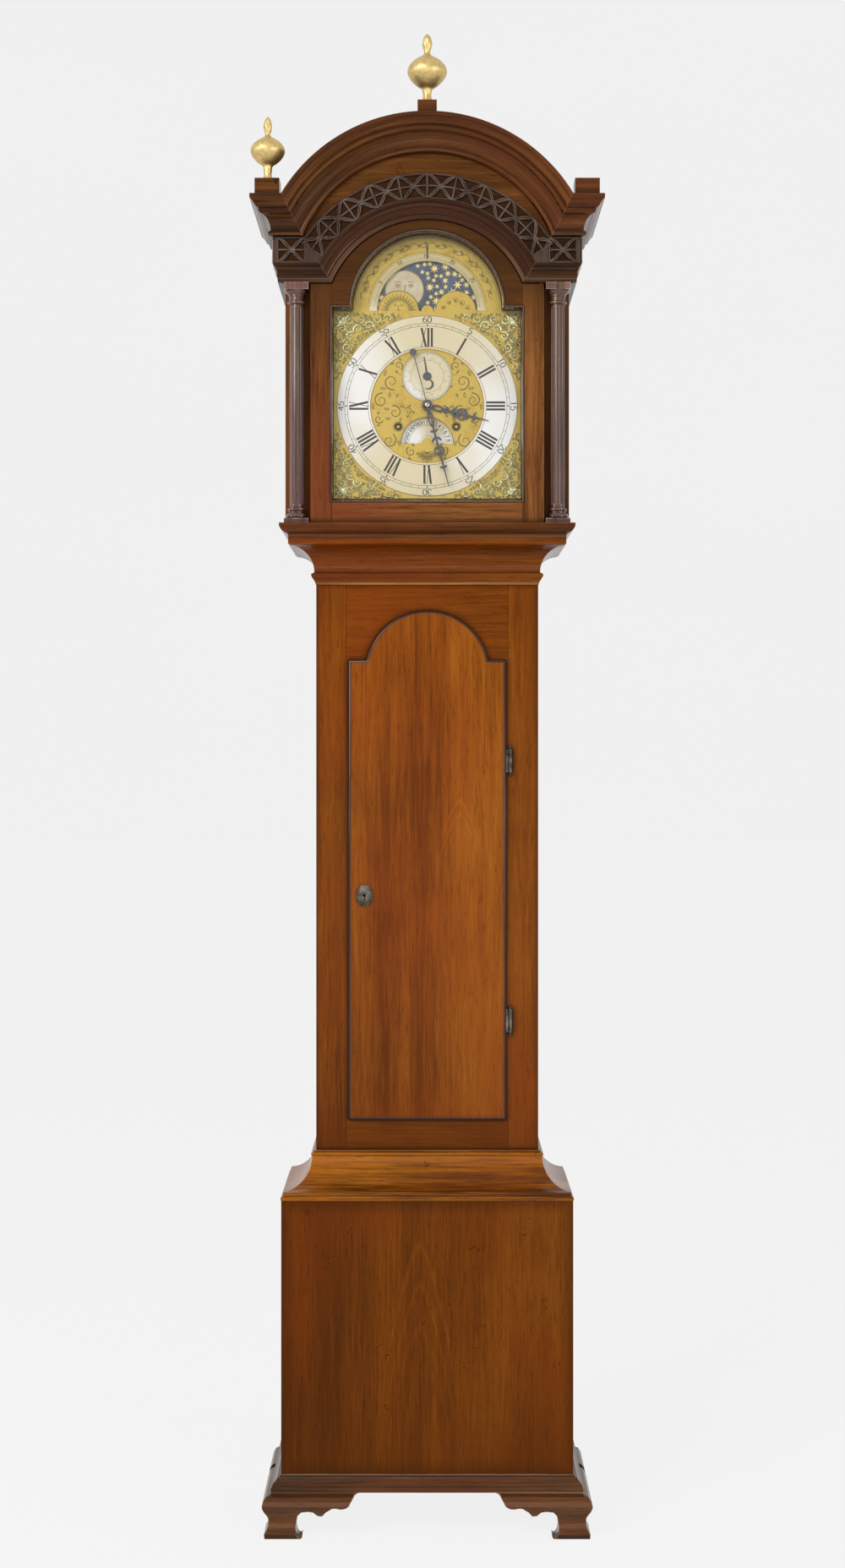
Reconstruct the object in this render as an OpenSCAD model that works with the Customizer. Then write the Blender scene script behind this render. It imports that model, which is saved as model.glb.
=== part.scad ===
// Longcase clock with a breaking-arch hood, a lipped trunk door and an eight-day movement.
// Millimetres. X runs to the right as seen from the front, Y to the back, Z up from the floor.

/* [Base] */
// Width of the base across its side panels
base_w = 464; // [430:1:500]
// Depth of the base, wall face to front panel
base_d = 223; // [205:1:240]
// Height of the bracket feet
foot_h = 70; // [60:1:80]
// Height of the plinth moulding above the feet
plinth_h = 25; // [18:1:32]
// Height of the top of the base panels
base_top = 528; // [480:1:580]
// How far the plinth moulding stands out of the base
plinth_out = 15.7; // [10:0.1:20]
// How far the feet swell out of the base
foot_out = 29; // [22:0.5:34]

/* [Trunk] */
// Width of the trunk
trunk_w = 358; // [330:1:380]
// Depth of the trunk, wall face to front frame
trunk_d = 170; // [155:1:185]
// Height of the waist moulding
waist_h = 72; // [60:1:84]
// Height at which the throat moulding starts
throat_z = 1511; // [1480:1:1540]
// Height of the throat moulding
throat_h = 73; // [64:1:82]
// How far the throat moulding flares out in front of the trunk
throat_out = 42.8; // [36:0.2:48]
// Thickness of the case boards
board_t = 15; // [12:0.5:18]

/* [Trunk door] */
// Width of the trunk door over its lip
door_w = 254; // [220:1:264]
// Height of the lower edge of the trunk door
door_z0 = 649; // [620:1:700]
// Height of the shoulders of the trunk door
door_z1 = 1389; // [1300:1:1395]
// Rise of the door's arch above its shoulders
door_rise = 80; // [60:1:84]
// Width of the door's arch at the shoulders
door_arch_w = 196; // [180:1:204]
// How far the lip laps over the frame
door_lip = 7; // [5:0.5:9]
// Thickness of the lip
lip_t = 7; // [5:0.5:9]
// Height of the escutcheon's centre
key_z = 1010; // [960:1:1060]

/* [Hood] */
// Width of the hood over its side panels
hood_w = 456; // [446:1:466]
// Thickness of the hood's side panels
panel_t = 12; // [10:0.5:14]
// Depth from the wall face to the face of the hood's front board
hood_d = 217; // [214:1:221]
// Thickness of the hood's front board
front_t = 15; // [12:0.5:17]
// Height of the hood's base
hood_base_h = 21; // [17:1:25]
// How far the hood's base stands out of the side panels
hood_base_over = 7.4; // [6:0.2:9]
// How far the throat moulding's top lies inside the side panels' faces
throat_in = 6.2; // [4:0.2:8]
// Height of the underside of the architrave
soffit_z = 1988; // [1986:1:1994]
// Radius of the arch that the hood door fills
arch_r = 165.4; // [163:0.2:168]
// Height of that arch's centre
arch_z = 1924; // [1920:1:1928]
// Height of the architrave
architrave_h = 29.6; // [26:0.2:33]
// Height of the frieze and its fret
frieze_h = 40.4; // [37:0.2:43]
// Height of the cornice at the shoulders
cornice_h = 61; // [56:0.5:66]
// How far the cornice stands out of the frieze
cornice_out = 37; // [30:0.5:42]
// Inner radius of the cornice's arch
crown_r = 212; // [208:0.5:216]
// Height of the centre of the cornice's arch
crown_z = 1979.6; // [1976:0.2:1984]
// Width of the cornice's arch across its moulding
crown_w = 56.7; // [52:0.2:60]
// Thickness of the fret
fret_t = 3; // [2:0.25:4]
// Spacing of the fret's units along its middle line
fret_pitch = 45; // [36:1:54]

/* [Columns and finials] */
// Distance of a column's middle in from the hood's side
column_in = 19.5; // [19:0.1:21]
// Radius of a column's shaft
shaft_r = 11.2; // [9:0.1:12]
// Width of a column's plinth and abacus
abacus_w = 39; // [34:0.5:39.4]
// Number of flutes on a column
flutes = 12; // [8:1:16]
// Radius of the side finial's ball
side_ball_r = 27.5; // [24:0.5:28]
// Radius of the centre finial's ball
centre_ball_r = 31.5; // [27:0.5:34]
// Distance of a side finial's middle out from the hood's side
finial_out = 24.5; // [22:0.5:27]

/* [Dial] */
// Side of the square part of the dial plate
dial_w = 305; // [296:1:308]
// Height of the dial's centre
dial_z = 1797; // [1795:1:1799]
// Radius of the dial's arch
dial_arch_r = 121; // [118:0.5:123]
// Outer radius of the chapter ring
chapter_ro = 145; // [140:0.5:147]
// Inner radius of the chapter ring
chapter_ri = 92; // [90:0.5:96]
// Radius of the moon disc
moon_r = 84; // [82:0.5:88]
// Radius of the two engraved humps in the moon's opening
hump_r = 33; // [30:0.5:35]
// Radius of the date disc's half-round opening
date_r = 41.7; // [38:0.2:43]
// Radius of the strike and silent disc
strike_dial_r = 39.4; // [36:0.2:40]
// Minutes that the hands show
shown_minute = 27.5; // [0:0.5:59.5]
// Hours that the hands show
shown_hour = 3; // [0:1:11]

/* [Movement] */
// Module of the train wheels
train_m = 0.8; // [0.78:0.01:0.82]
// Thickness of the train wheels
wheel_t = 1.5; // [1:0.1:2]
// Radius of the plain part of an arbor
arbor_r = 1.5; // [1.2:0.1:1.8]
// Running clearance of a pivot in its hole
pivot_gap = 0.05; // [0.02:0.01:0.08]
// Distance of each winding arbor from the middle
barrel_x = 46.6; // [45:0.2:48]
// Drop of the winding arbors below the dial's centre
barrel_drop = 33; // [31:0.5:35]
// Radius of a barrel
barrel_r = 25; // [22:0.5:26]
// Radius of a gut line
line_r = 0.8; // [0.6:0.1:1]
// Half the width of the movement's plates
plate_hw = 88; // [86:1:96]
// Gap between the movement's plates
plate_gap = 57; // [56:1:60]
// Thickness of the movement's plates
plate_t = 3; // [2:0.5:4]
// Thickness of the seatboard
seat_t = 20; // [16:1:24]

/* [Pendulum and weights] */
// Length of the pendulum from its spring to the middle of the bob
pendulum_l = 994; // [960:1:1010]
// Radius of the bob
bob_r = 54; // [46:1:60]
// Thickness of the bob
bob_t = 28; // [20:1:30]
// Radius of a driving weight
weight_r = 29; // [24:0.5:30]
// Height of a driving weight
weight_h = 190; // [160:1:220]
// Height of the foot of a weight when it has run down
weight_low = 330; // [290:1:380]

/* [Hidden] */
$fn = 64;
eps = 0.01;
gap = 0.3;
back_y = 130;
base_hw = base_w / 2;
base_y = back_y - base_d;
trunk_hw = trunk_w / 2;
trunk_y = back_y - trunk_d;
waist_top = base_top + waist_h;
throat_top = throat_z + throat_h;
hood_hw = hood_w / 2;
hood_in = hood_hw - panel_t;
hood_y = back_y - hood_d;
column_x = hood_hw - column_in;
finial_x = hood_hw + finial_out;
base_out_x = base_hw - trunk_hw;
base_out_y = trunk_y - base_y;
throat_side = hood_hw - throat_in - trunk_hw;
hood_z = throat_top + hood_base_h;
board_y = back_y - board_t;
inner_y = trunk_y + board_t;

// The trunk door's opening is smaller than the door by the lip all round
door_hw = door_w / 2;
open_hw = door_hw - door_lip;
door_gap = 0.5;
hinge_x = door_hw + 7;
hinge_y = trunk_y - 3.7;
hinge_r = 3.5;
hinge_len = 37;
hinge_zs = [808, 1227];
leaf_t = 1.5;

// The frieze stands out of the front board, and the architrave meets the cornice above it
frieze_t = 6;
frieze_y = hood_y - frieze_t;
frieze_side = 14.5;
frieze_hw = hood_hw + frieze_side;
architrave_top = soffit_z + architrave_h;
frieze_top = architrave_top + frieze_h;
cornice_top = frieze_top + cornice_h;
mitre_gap = 0.1;
architrave_side = 8.5;
architrave_out = 8.5;
architrave_w = 30.1;
architrave_r = arch_r + architrave_w;
fret_r = architrave_r + frieze_h;
front_back_y = hood_y + front_t;
vault_over = 38;
vault_in = crown_r + vault_over;
vault_t = 8;
panel_top = 2109;

// The hood door: thickness, stand-off from the mask, and the pin that it turns on
hdoor_y = hood_y + 1;
hdoor_t = 20;
hdoor_gap = 2;
hdoor_in = 42;
hdoor_hw = hood_hw - hdoor_in;
hdoor_stile = 34;
pin_in = 4;
hdoor_pin = [hdoor_hw - pin_in, hdoor_y + pin_in];
pivot_reach = 34;
hdoor_pin_r = 2.5;
hdoor_open_hw = hdoor_hw - hdoor_stile;
hdoor_open_z = 1641;
rebate = 5;
glass_t = 2;
mask_t = 8;
mask_h = 480;
mask_hw = column_x - abacus_w / 2 - 1.5;
mask_y = hdoor_y + hdoor_t + 2;

// The dial stands on feet in front of the movement
dial_hw = dial_w / 2;
dial_plate_t = 2;
front_plate_y = -18;
back_plate_y = front_plate_y + plate_t + plate_gap;
dial_y = -52;
ring_t = 1.5;
dial_arch_z = dial_z + dial_hw;
shoulder_r = dial_arch_r + 0.5;
hump_x = 46;
date_z = dial_z - 60;
strike_z = dial_z + 47.6;
seat_z = dial_z - 85;
plate_top = dial_z + 65;
plate_back = back_plate_y + plate_t;

// Arbors, as seen from the front and measured from the dial's centre
function on_circle(p, r, a) = [p[0] + r * cos(a), p[1] + r * sin(a)];
// Point at distance rp from p and rq from q, on the left of the way from p to q
function meet(p, rp, q, rq) =
    let (d = norm(q - p), a = (rp * rp - rq * rq + d * d) / (2 * d), h = sqrt(rp * rp - a * a))
    p + a * (q - p) / d + h * [-(q[1] - p[1]), q[0] - p[0]] / d;
function centres(n, k, m) = (n + k) * m / 2;
great_n = 96;
strike_great_n = 84;
second_n = 60;
pin_n = 64;
third_n = 56;
warn_n = 49;
leaves = 8;
fine_leaves = 7;
warn_m = 0.6;
going_at = [barrel_x, -barrel_drop];
strike_at = [-barrel_x, -barrel_drop];
centre_at = [0, 0];
third_at = on_circle(centre_at, centres(third_n, fine_leaves, train_m), 24.1);
second_at = meet(third_at, centres(second_n, leaves, train_m), going_at, centres(great_n, leaves, train_m));
pin_at = on_circle(strike_at, centres(strike_great_n, leaves, train_m), 98.4);
gather_at = on_circle(pin_at, centres(pin_n, leaves, train_m), 78);
warn_at = on_circle(gather_at, centres(third_n, fine_leaves, train_m), 29.4);
fly_at = on_circle(warn_at, centres(warn_n, fine_leaves, warn_m), 17.3);
anchor_at = [0, 32];
hammer_at = [-76, 32];
motion_n = 40;
motion_m = norm(second_at) / 2 / motion_n;
idler_at = second_at / 2;
idler_leaves = 6;
hour_n = 72;
hour_m = norm(idler_at) * 2 / (hour_n + idler_leaves);

// Planes of the wheels, front to back
great_y = -8;
pin_circle = pin_n * train_m / 2 - 2;
great_t = 2.5;
drum_y0 = -3;
drum_y1 = 34;
second_y = 36.5;
third_y = 20;
escape_y = 30;
warn_y = 10;
motion_y = -25;
hour_y = -32;
motion_t = 1.2;
date_disc_y = -48;
hour_hand_y = -57;
minute_hand_y = -61;
seconds_hand_y = -65;
hand_t = 1;
seconds_r = 1.2;
cannon_r = 2.6;
hour_pipe_r = 4.3;
escape_r = 22;
pendulum_y = 70;
pivot_z = dial_z + anchor_at[1];

// The two falls of a line hang from the barrel's side and from the seatboard
fall_r = barrel_r + line_r;
fall_y = 15;
pulley_t = 8;
stirrup_h = 16;
pulley_z = weight_low + weight_h + stirrup_h + fall_r;

// Points along an ellipse from angle a0 to a1
function bow(c, rx, rz, a0, a1, n = 10) =
    [for (i = [0:n]) let (a = a0 + (a1 - a0) * i / n) [c[0] + rx * cos(a), c[1] + rz * sin(a)]];
function turned(points, a) =
    [for (p = points) [p[0] * cos(a) - p[1] * sin(a), p[0] * sin(a) + p[1] * cos(a)]];
function moved(points, v) = [for (p = points) p + v];
// A pointed petal from the origin along +X
function petal(len, w) =
    concat([for (i = [0:4]) [len * i / 4, w * sin(180 * i / 4)]],
           [for (i = [3:-1:1]) [len * i / 4, -w * sin(180 * i / 4)]]);

// A flat outline in X and Z, thickened towards the front from y1 to y0
module slab(y0, y1) {
    translate([0, y1, 0]) rotate([90, 0, 0]) linear_extrude(y1 - y0) children();
}
// A round bar along Y
module bar(at, y0, y1, r) {
    translate([at[0], y1, at[1]]) rotate([90, 0, 0]) cylinder(h = y1 - y0, r = r);
}
// A box from corner to corner
module box(a, b) {
    translate(a) cube(b - a);
}
// Children and their mirror image in X
module pair() {
    children();
    mirror([1, 0, 0]) children();
}

// Mouldings. A profile is a list of [share of the full projection, height] from foot to top.
// ps and pf are the full projections at the side and front, ds and df the depths behind the face.
module front_run(profile, hw, fy, ps, pf, df) {
    last = len(profile) - 1;
    outline = concat([[fy + df, profile[0][1]]], [for (p = profile) [fy - p[0] * pf, p[1]]],
                     [[fy + df, profile[last][1]]]);
    reach = hw + 1.5 * ps;
    translate([-reach, 0, 0]) rotate([90, 0, 90]) linear_extrude(2 * reach) polygon(outline);
}
module side_run(profile, hw, fy, pf, ps, ds, y1) {
    last = len(profile) - 1;
    outline = concat([[hw - ds, profile[0][1]]], [for (p = profile) [hw + p[0] * ps, p[1]]],
                     [[hw - ds, profile[last][1]]]);
    slab(fy - 1.5 * pf, y1) polygon(outline);
}
// Plan of the front length between its two mitres, and of one side length
module front_plan(hw, fy, ps, pf, k) {
    polygon([[-hw - 1.4 * ps, fy - 1.4 * pf], [hw + 1.4 * ps, fy - 1.4 * pf],
             [hw - k * ps, fy + k * pf], [-hw + k * ps, fy + k * pf]]);
}
module side_plan(hw, fy, ps, pf, k, y1) {
    polygon([[hw + 1.4 * ps, fy - 1.4 * pf], [hw + 1.4 * ps, y1 + 1], [hw - k * ps, y1 + 1],
             [hw - k * ps, fy + k * pf]]);
}
module front_length(profile, hw, fy, ps, pf, df, k = 1) {
    intersection() {
        front_run(profile, hw, fy, ps, pf, df);
        translate([0, 0, profile[0][1] - 1]) linear_extrude(300) front_plan(hw, fy, ps, pf, k);
    }
}
module side_length(profile, hw, fy, ps, pf, ds, k = 1) {
    intersection() {
        side_run(profile, hw, fy, pf, ps, ds, back_y);
        translate([0, 0, profile[0][1] - 1]) linear_extrude(300)
            side_plan(hw, fy, ps, pf, k, back_y);
    }
}
// A moulding length bent round an arch: the profile's heights become radii
module arch_length(profile, centre_z, z0, r0, stretch, fy, pf, df, half_angle) {
    last = len(profile) - 1;
    radius = [for (p = profile) r0 + (p[1] - z0) * stretch];
    outline = concat([[radius[0], -fy - df]], [for (i = [0:last]) [radius[i], -fy + profile[i][0] * pf]],
                     [[radius[last], -fy - df]]);
    translate([0, 0, centre_z]) rotate([90, 0, 0]) rotate([0, 0, 90 - half_angle])
        rotate_extrude(angle = 2 * half_angle, $fn = 96) polygon(outline);
}
// Angle from the top at which an arch of radius r about zc falls to height z
function fall_angle(r, zc, z) = acos((z - zc) / r);
// Where an arch of radius r about zc crosses height z
function cross_x(r, zc, z) = sqrt(r * r - pow(z - zc, 2));
// Region of the front beyond the mitre between an arch and its shoulder
module beyond_mitre(x0, z0, x1, z1) {
    d = [x1 - x0, z1 - z0];
    a = [x0, z0] - 2 * d;
    b = [x1, z1] + 2 * d;
    polygon([a, [2 * hood_w, a[1]], [2 * hood_w, b[1]], b]);
}

// Base of the case

module base_panels() {
    color([0.43, 0.24, 0.09]) {
        box([-base_hw, base_y, foot_h], [base_hw, base_y + board_t, base_top]);
        pair() box([base_hw - board_t, base_y + board_t, foot_h], [base_hw, board_y, base_top]);
        box([-base_hw + board_t, base_y + board_t, foot_h],
            [base_hw - board_t, board_y, foot_h + board_t]);
    }
}

module backboard() {
    color([0.33, 0.21, 0.11]) slab(board_y, back_y) {
        translate([-base_hw, foot_h]) square([base_w, base_top - foot_h]);
        translate([-trunk_hw, base_top]) square([trunk_w, throat_top - base_top]);
        clear = hood_in - 0.5;
        translate([-clear, throat_top]) square([2 * clear, panel_top - 0.5 - throat_top]);
        intersection() {
            translate([0, crown_z]) circle(vault_in - 0.5, $fn = 96);
            translate([-clear, panel_top - 1]) square([2 * clear, vault_in]);
        }
    }
}

// A moulding round the front and both sides of a case of half-width hw whose face is at fy. The
// front and side runs cut each other off along the mitres, and the case itself is left out.
module mitred(profile, hw, fy, ps, pf) {
    last = len(profile) - 1;
    z0 = profile[0][1];
    z1 = profile[last][1];
    difference() {
        intersection() {
            translate([-2 * hw, 0, 0]) rotate([90, 0, 90]) linear_extrude(4 * hw)
                polygon(concat([[back_y, z0]], [for (p = profile) [fy - p[0] * pf, p[1]]],
                               [[back_y, z1]]));
            slab(fy - 2 * pf, back_y)
                polygon(concat([for (p = profile) [hw + p[0] * ps, p[1]]],
                               [for (i = [last:-1:0]) [-hw - profile[i][0] * ps, profile[i][1]]]));
        }
        box([-hw, fy, z0 - 1], [hw, back_y + 1, z1 + 1]);
    }
}

// Quirk, ovolo and two fillets, from the top of the feet to the base
function plinth_profile(z, h) = [
    [1, z], [1, z + 0.3 * h], [0.86, z + 0.36 * h], [0.86, z + 0.5 * h], [0.6, z + 0.62 * h],
    [0.42, z + 0.78 * h], [0.4, z + 0.86 * h], [0.16, z + 0.88 * h], [0.12, z + h]
];

module plinth_moulding() {
    color([0.35, 0.2, 0.09])
        mitred(plinth_profile(foot_h, plinth_h), base_hw, base_y, plinth_out, plinth_out);
}

// The ogee of a foot: toe, waist and swell, as shares of the swell's projection
function foot_profile(h, top) = concat(
    [[0.86, 0], [0.88, 0.1 * h], [0.8, 0.15 * h]],
    [for (i = [0:12]) let (a = 180 * i / 12)
        [0.76 + 0.24 * (1 - cos(a)) / 2 - 0.2 * sin(a * 0.9) * (a < 90 ? 1 : 1 - (a - 90) / 90),
         (0.18 + 0.56 * i / 12) * h]],
    [[0.95, 0.84 * h], [0.8, 0.93 * h], [top, 0.97 * h], [top, h]]
);

// Elevation of one bracket, u measured inwards from the corner of the base
module bracket_outline(back = 0) {
    arch = bow([95, 0.62 * foot_h], 24, 0.16 * foot_h, 200, 330, 6);
    polygon(concat(
        [[-foot_out - 5, -1], [31, -1]],
        bow([31, 0.27 * foot_h], 7, 0.27 * foot_h, -60, -170, 5),
        [[27, 0.5 * foot_h], [33, 0.6 * foot_h], [44, 0.62 * foot_h], [52, 0.6 * foot_h],
         [59, 0.5 * foot_h], [66, 0.49 * foot_h], [72, 0.6 * foot_h], [82, 0.7 * foot_h]],
        bow([96, 0.84 * foot_h], 15, 0.16 * foot_h, 240, 350, 5),
        [[117, 0.95 * foot_h], [124, foot_h], [-foot_out - 5, foot_h]]
    ));
}

module bracket_feet() {
    foot = foot_profile(foot_h, plinth_out / foot_out);
    behind = 10;
    color([0.31, 0.18, 0.08]) pair() {
        intersection() {
            front_length(foot, base_hw, base_y, foot_out, foot_out, behind);
            slab(base_y - 60, base_y + 60) translate([base_hw, 0]) mirror([1, 0]) bracket_outline();
        }
        intersection() {
            side_length(foot, base_hw, base_y, foot_out, foot_out, behind);
            rotate([90, 0, 90]) linear_extrude(400) {
                translate([base_y, 0]) bracket_outline();
                translate([back_y, 0]) mirror([1, 0]) intersection() {
                    bracket_outline();
                    translate([0, -2]) square([base_d / 2 - 25, foot_h + 4]);
                }
            }
        }
    }
}

// Fillets, a long hollow and a bead that bring the base in to the trunk
function waist_profile(z, h) = concat(
    [[1, z], [1.02, z + 0.02 * h], [1.02, z + 0.06 * h], [0.99, z + 0.09 * h], [0.95, z + 0.1 * h],
     [0.95, z + 0.18 * h]],
    bow([0.95, z + 0.86 * h], 0.83, 0.68 * h, -90, -180, 12),
    [[0.12, z + 0.87 * h], [0.15, z + 0.9 * h], [0.15, z + 0.93 * h], [0.12, z + 0.95 * h],
     [0.07, z + 0.955 * h], [0.07, z + h]]
);

module waist_moulding() {
    color([0.5, 0.27, 0.1])
        mitred(waist_profile(base_top, waist_h), trunk_hw, trunk_y, base_out_x, base_out_y);
}

// Trunk

module trunk_sides() {
    color([0.42, 0.23, 0.09])
        pair() box([trunk_hw - board_t, inner_y, base_top], [trunk_hw, board_y, seat_z - seat_t]);
}

// The door's outline, grown by d
module door_outline(hw, d) {
    chord = door_arch_w / 2;
    r = (chord * chord + door_rise * door_rise) / (2 * door_rise);
    translate([-hw - d, door_z0 - d]) square([2 * (hw + d), door_z1 - door_z0 + 2 * d]);
    intersection() {
        translate([0, door_z1 + door_rise - r]) circle(r + d, $fn = 96);
        translate([-chord - d, door_z1 - 20]) square([2 * (chord + d), door_rise + 60]);
    }
}

module trunk_frame() {
    color([0.48, 0.26, 0.1]) difference() {
        slab(trunk_y, inner_y) difference() {
            translate([-trunk_hw, base_top]) square([trunk_w, throat_top - base_top]);
            door_outline(door_hw, -door_lip);
        }
        hinge_seats(trunk_y - 1, trunk_y + leaf_t + 0.1, open_hw - 1, hinge_x + 0.5);
        box([-open_hw - 9, trunk_y + 8, key_z - 9], [-open_hw + 1, trunk_y + 13, key_z + 9]);
    }
}

function throat_profile(z, h) = concat(
    [[0.02, z], [0.04, z + 0.05 * h], [0.12, z + 0.13 * h], [0.17, z + 0.17 * h],
     [0.19, z + 0.205 * h], [0.17, z + 0.24 * h], [0.1, z + 0.255 * h], [0.07, z + 0.275 * h]],
    bow([0.95, z + 0.275 * h], 0.88, 0.55 * h, 180, 92, 12),
    [[0.95, z + 0.84 * h], [1, z + 0.85 * h], [1, z + h]]
);

module throat_moulding() {
    color([0.38, 0.2, 0.09])
        mitred(throat_profile(throat_z, throat_h), trunk_hw, trunk_y, throat_side, throat_out);
}

module seatboard() {
    color([0.55, 0.4, 0.25]) difference() {
        box([-trunk_hw, front_plate_y - 4, seat_z - seat_t], [trunk_hw, plate_back + 3, seat_z]);
        for (s = [-1, 1]) translate([s * barrel_x - fall_r, fall_y, seat_z - seat_t - 1])
            cylinder(h = seat_t + 2, r = 6);
    }
}

// Shallow beds cut for the hinge leaves at both hinge heights
module hinge_seats(y0, y1, x0, x1) {
    for (z = hinge_zs) box([x0, y0, z - hinge_len / 2 - 0.2], [x1, y1, z + hinge_len / 2 + 0.2]);
}
// One knuckle between two heights, with its web to a leaf in the plane y0 to y1
module knuckle(z0, z1, leaf_x, y0, y1, bore) {
    difference() {
        union() {
            translate([hinge_x, hinge_y, z0]) cylinder(h = z1 - z0, r = hinge_r);
            box([leaf_x, y0, z0], [hinge_x, y1, z1]);
        }
        if (bore) translate([hinge_x, hinge_y, z0 - 1]) cylinder(h = z1 - z0 + 2, r = 1.5 + pivot_gap);
    }
}

module fixed_hinge_leaves() {
    color([0.45, 0.42, 0.36]) for (z = hinge_zs) {
        third = hinge_len / 6;
        for (s = [-1, 1]) {
            mid = z + s * 2 * third;
            knuckle(mid - third + 0.15, mid + third - 0.15, hinge_x - 3, hinge_y, trunk_y + leaf_t, false);
            translate([hinge_x, hinge_y, mid + s * (third - 0.3)])
                mirror([0, 0, s < 0 ? 1 : 0]) rotate_extrude()
                    polygon([[0, 0], [hinge_r - 0.5, 0], [hinge_r - 1.2, 1.5], [1.3, 2.2],
                             [2, 3.6], [1.6, 5], [0, 6]]);
        }
        translate([hinge_x, hinge_y, z - third - 1]) cylinder(h = 2 * third + 2, r = 1.5);
        box([open_hw, trunk_y, z - hinge_len / 2], [hinge_x, trunk_y + leaf_t, z + hinge_len / 2]);
    }
}

module door_hinge_leaves() {
    third = hinge_len / 6;
    color([0.45, 0.42, 0.36]) for (z = hinge_zs) {
        knuckle(z - third + 0.15, z + third - 0.15, hinge_x - 22, trunk_y - leaf_t - 0.2,
                trunk_y - 0.2, true);
    }
}

// Half-round and quirk worked on the lip, as setbacks from the front
module trunk_door() {
    third = hinge_len / 6;
    lip_y = trunk_y - lip_t;
    color([0.54, 0.3, 0.1]) difference() {
        union() {
            slab(trunk_y - eps, inner_y) door_outline(door_hw, -door_lip - door_gap);
            slab(lip_y + 2.2, trunk_y) door_outline(door_hw, 0);
            slab(lip_y + 1, lip_y + 2.2 + eps) door_outline(door_hw, -1.2);
            slab(lip_y, lip_y + 1 + eps) door_outline(door_hw, -3);
        }
        for (z = hinge_zs)
            box([hinge_x - 22.2, trunk_y - leaf_t - 0.2, z - third],
                [hinge_x, trunk_y + eps, z + third]);
        box([-open_hw - 1, trunk_y + 7, key_z - 26], [-open_hw + 32, inner_y + 1, key_z + 26]);
        translate([-101, inner_y, key_z]) rotate([90, 0, 0]) cylinder(h = 40, r = 2.5, $fn = 24);
    }
}

module door_lock() {
    color([0.62, 0.5, 0.25]) difference() {
        box([-open_hw + 1, trunk_y + 7, key_z - 25.5], [-open_hw + 31.5, inner_y + 1.5, key_z + 25.5]);
        box([-open_hw, trunk_y + 8.8, key_z - 7.3], [-open_hw + 26, trunk_y + 12.2, key_z + 7.3]);
        translate([-101, inner_y + 5, key_z]) rotate([90, 0, 0]) cylinder(h = 20, r = 2.5, $fn = 24);
    }
}

module lock_bolt() {
    color([0.55, 0.53, 0.5]) difference() {
        box([-open_hw + 1.2, trunk_y + 9, key_z - 7], [-open_hw + 18.5, trunk_y + 12, key_z + 7]);
        box([-open_hw + 15, trunk_y + 8, key_z - 3], [-open_hw + 19, trunk_y + 13, key_z + 3]);
    }
}

// Oval plate with a beaded rim, scalloped edge and a keyhole
module escutcheon() {
    y = trunk_y - lip_t;
    color([0.5, 0.46, 0.38]) translate([-101, 0, key_z]) {
        slab(y - 1.5, y) difference() {
            polygon([for (i = [0:79]) let (a = 4.5 * i, r = 1 + 0.035 * cos(a * 16))
                [13.6 * r * cos(a), 17.6 * r * sin(a)]]);
            circle(2.2, $fn = 24);
            translate([-1, -8]) square([2, 8]);
        }
        for (i = [0:15]) let (a = 22.5 * i)
            slab(y - 2.6, y - 1.5) polygon(bow([10.6 * cos(a), 14.2 * sin(a)], 1.5, 1.9, 0, 315, 7));
    }
}

// Hood

// The region under the hood's vault and between its side panels
module hood_front_outline() {
    translate([-hood_hw, soffit_z]) square([hood_w, panel_top - soffit_z]);
    intersection() {
        translate([0, crown_z]) circle(crown_r + 50, $fn = 96);
        translate([-hood_hw, panel_top - 1]) square([hood_w, crown_r]);
    }
}

module hood_carcase() {
    rail_y = hood_y + 9;
    post_y = -50;
    post_x = trunk_hw - 7;
    color([0.3, 0.18, 0.11]) {
        difference() {
            slab(hood_y, front_back_y) difference() {
                hood_front_outline();
                translate([0, arch_z]) circle(arch_r, $fn = 96);
            }
            translate([hdoor_pin[0], hdoor_pin[1], soffit_z - 1]) cylinder(h = 6, r = hdoor_pin_r + pivot_gap);
        }
        pair() {
            box([hood_in, post_y, hood_z], [hood_hw, back_y, panel_top]);
            box([hood_in, front_back_y, soffit_z], [hood_hw, post_y, panel_top]);
            box([trunk_hw + 9, post_y, throat_top], [hood_in, board_y - gap, hood_z + 5]);
            box([post_x, mask_y + mask_t, hood_z], [mask_hw, post_y + 7, soffit_z]);
            box([mask_hw, post_y, hood_z], [hood_in, post_y + 7, soffit_z]);
        }
        box([-hood_in, rail_y, throat_top], [hood_in, -40, hood_z]);
    }
}

function hood_base_profile(z, h) = [
    [0.3, z], [0.32, z + 0.18 * h], [0.4, z + 0.24 * h], [0.62, z + 0.34 * h], [0.82, z + 0.48 * h],
    [0.92, z + 0.62 * h], [0.97, z + 0.72 * h], [1, z + 0.76 * h], [1, z + h]
];

module hood_base_moulding() {
    rail_y = hood_y + 9;
    full = panel_t + hood_base_over;
    color([0.34, 0.19, 0.1]) difference() {
        mitred(hood_base_profile(throat_top, hood_base_h), hood_in, rail_y, full, full);
        translate([hdoor_pin[0], hdoor_pin[1], hood_z - 4]) cylinder(h = 6, r = hdoor_pin_r + pivot_gap);
    }
}

// The dial's opening: a square with an arch, grown by d
module arched_opening(hw, z0, r, d) {
    translate([-hw - d, z0 - d]) square([2 * (hw + d), dial_arch_z - z0 + 2 * d]);
    translate([0, dial_arch_z]) circle(r + d, $fn = 96);
}

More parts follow.
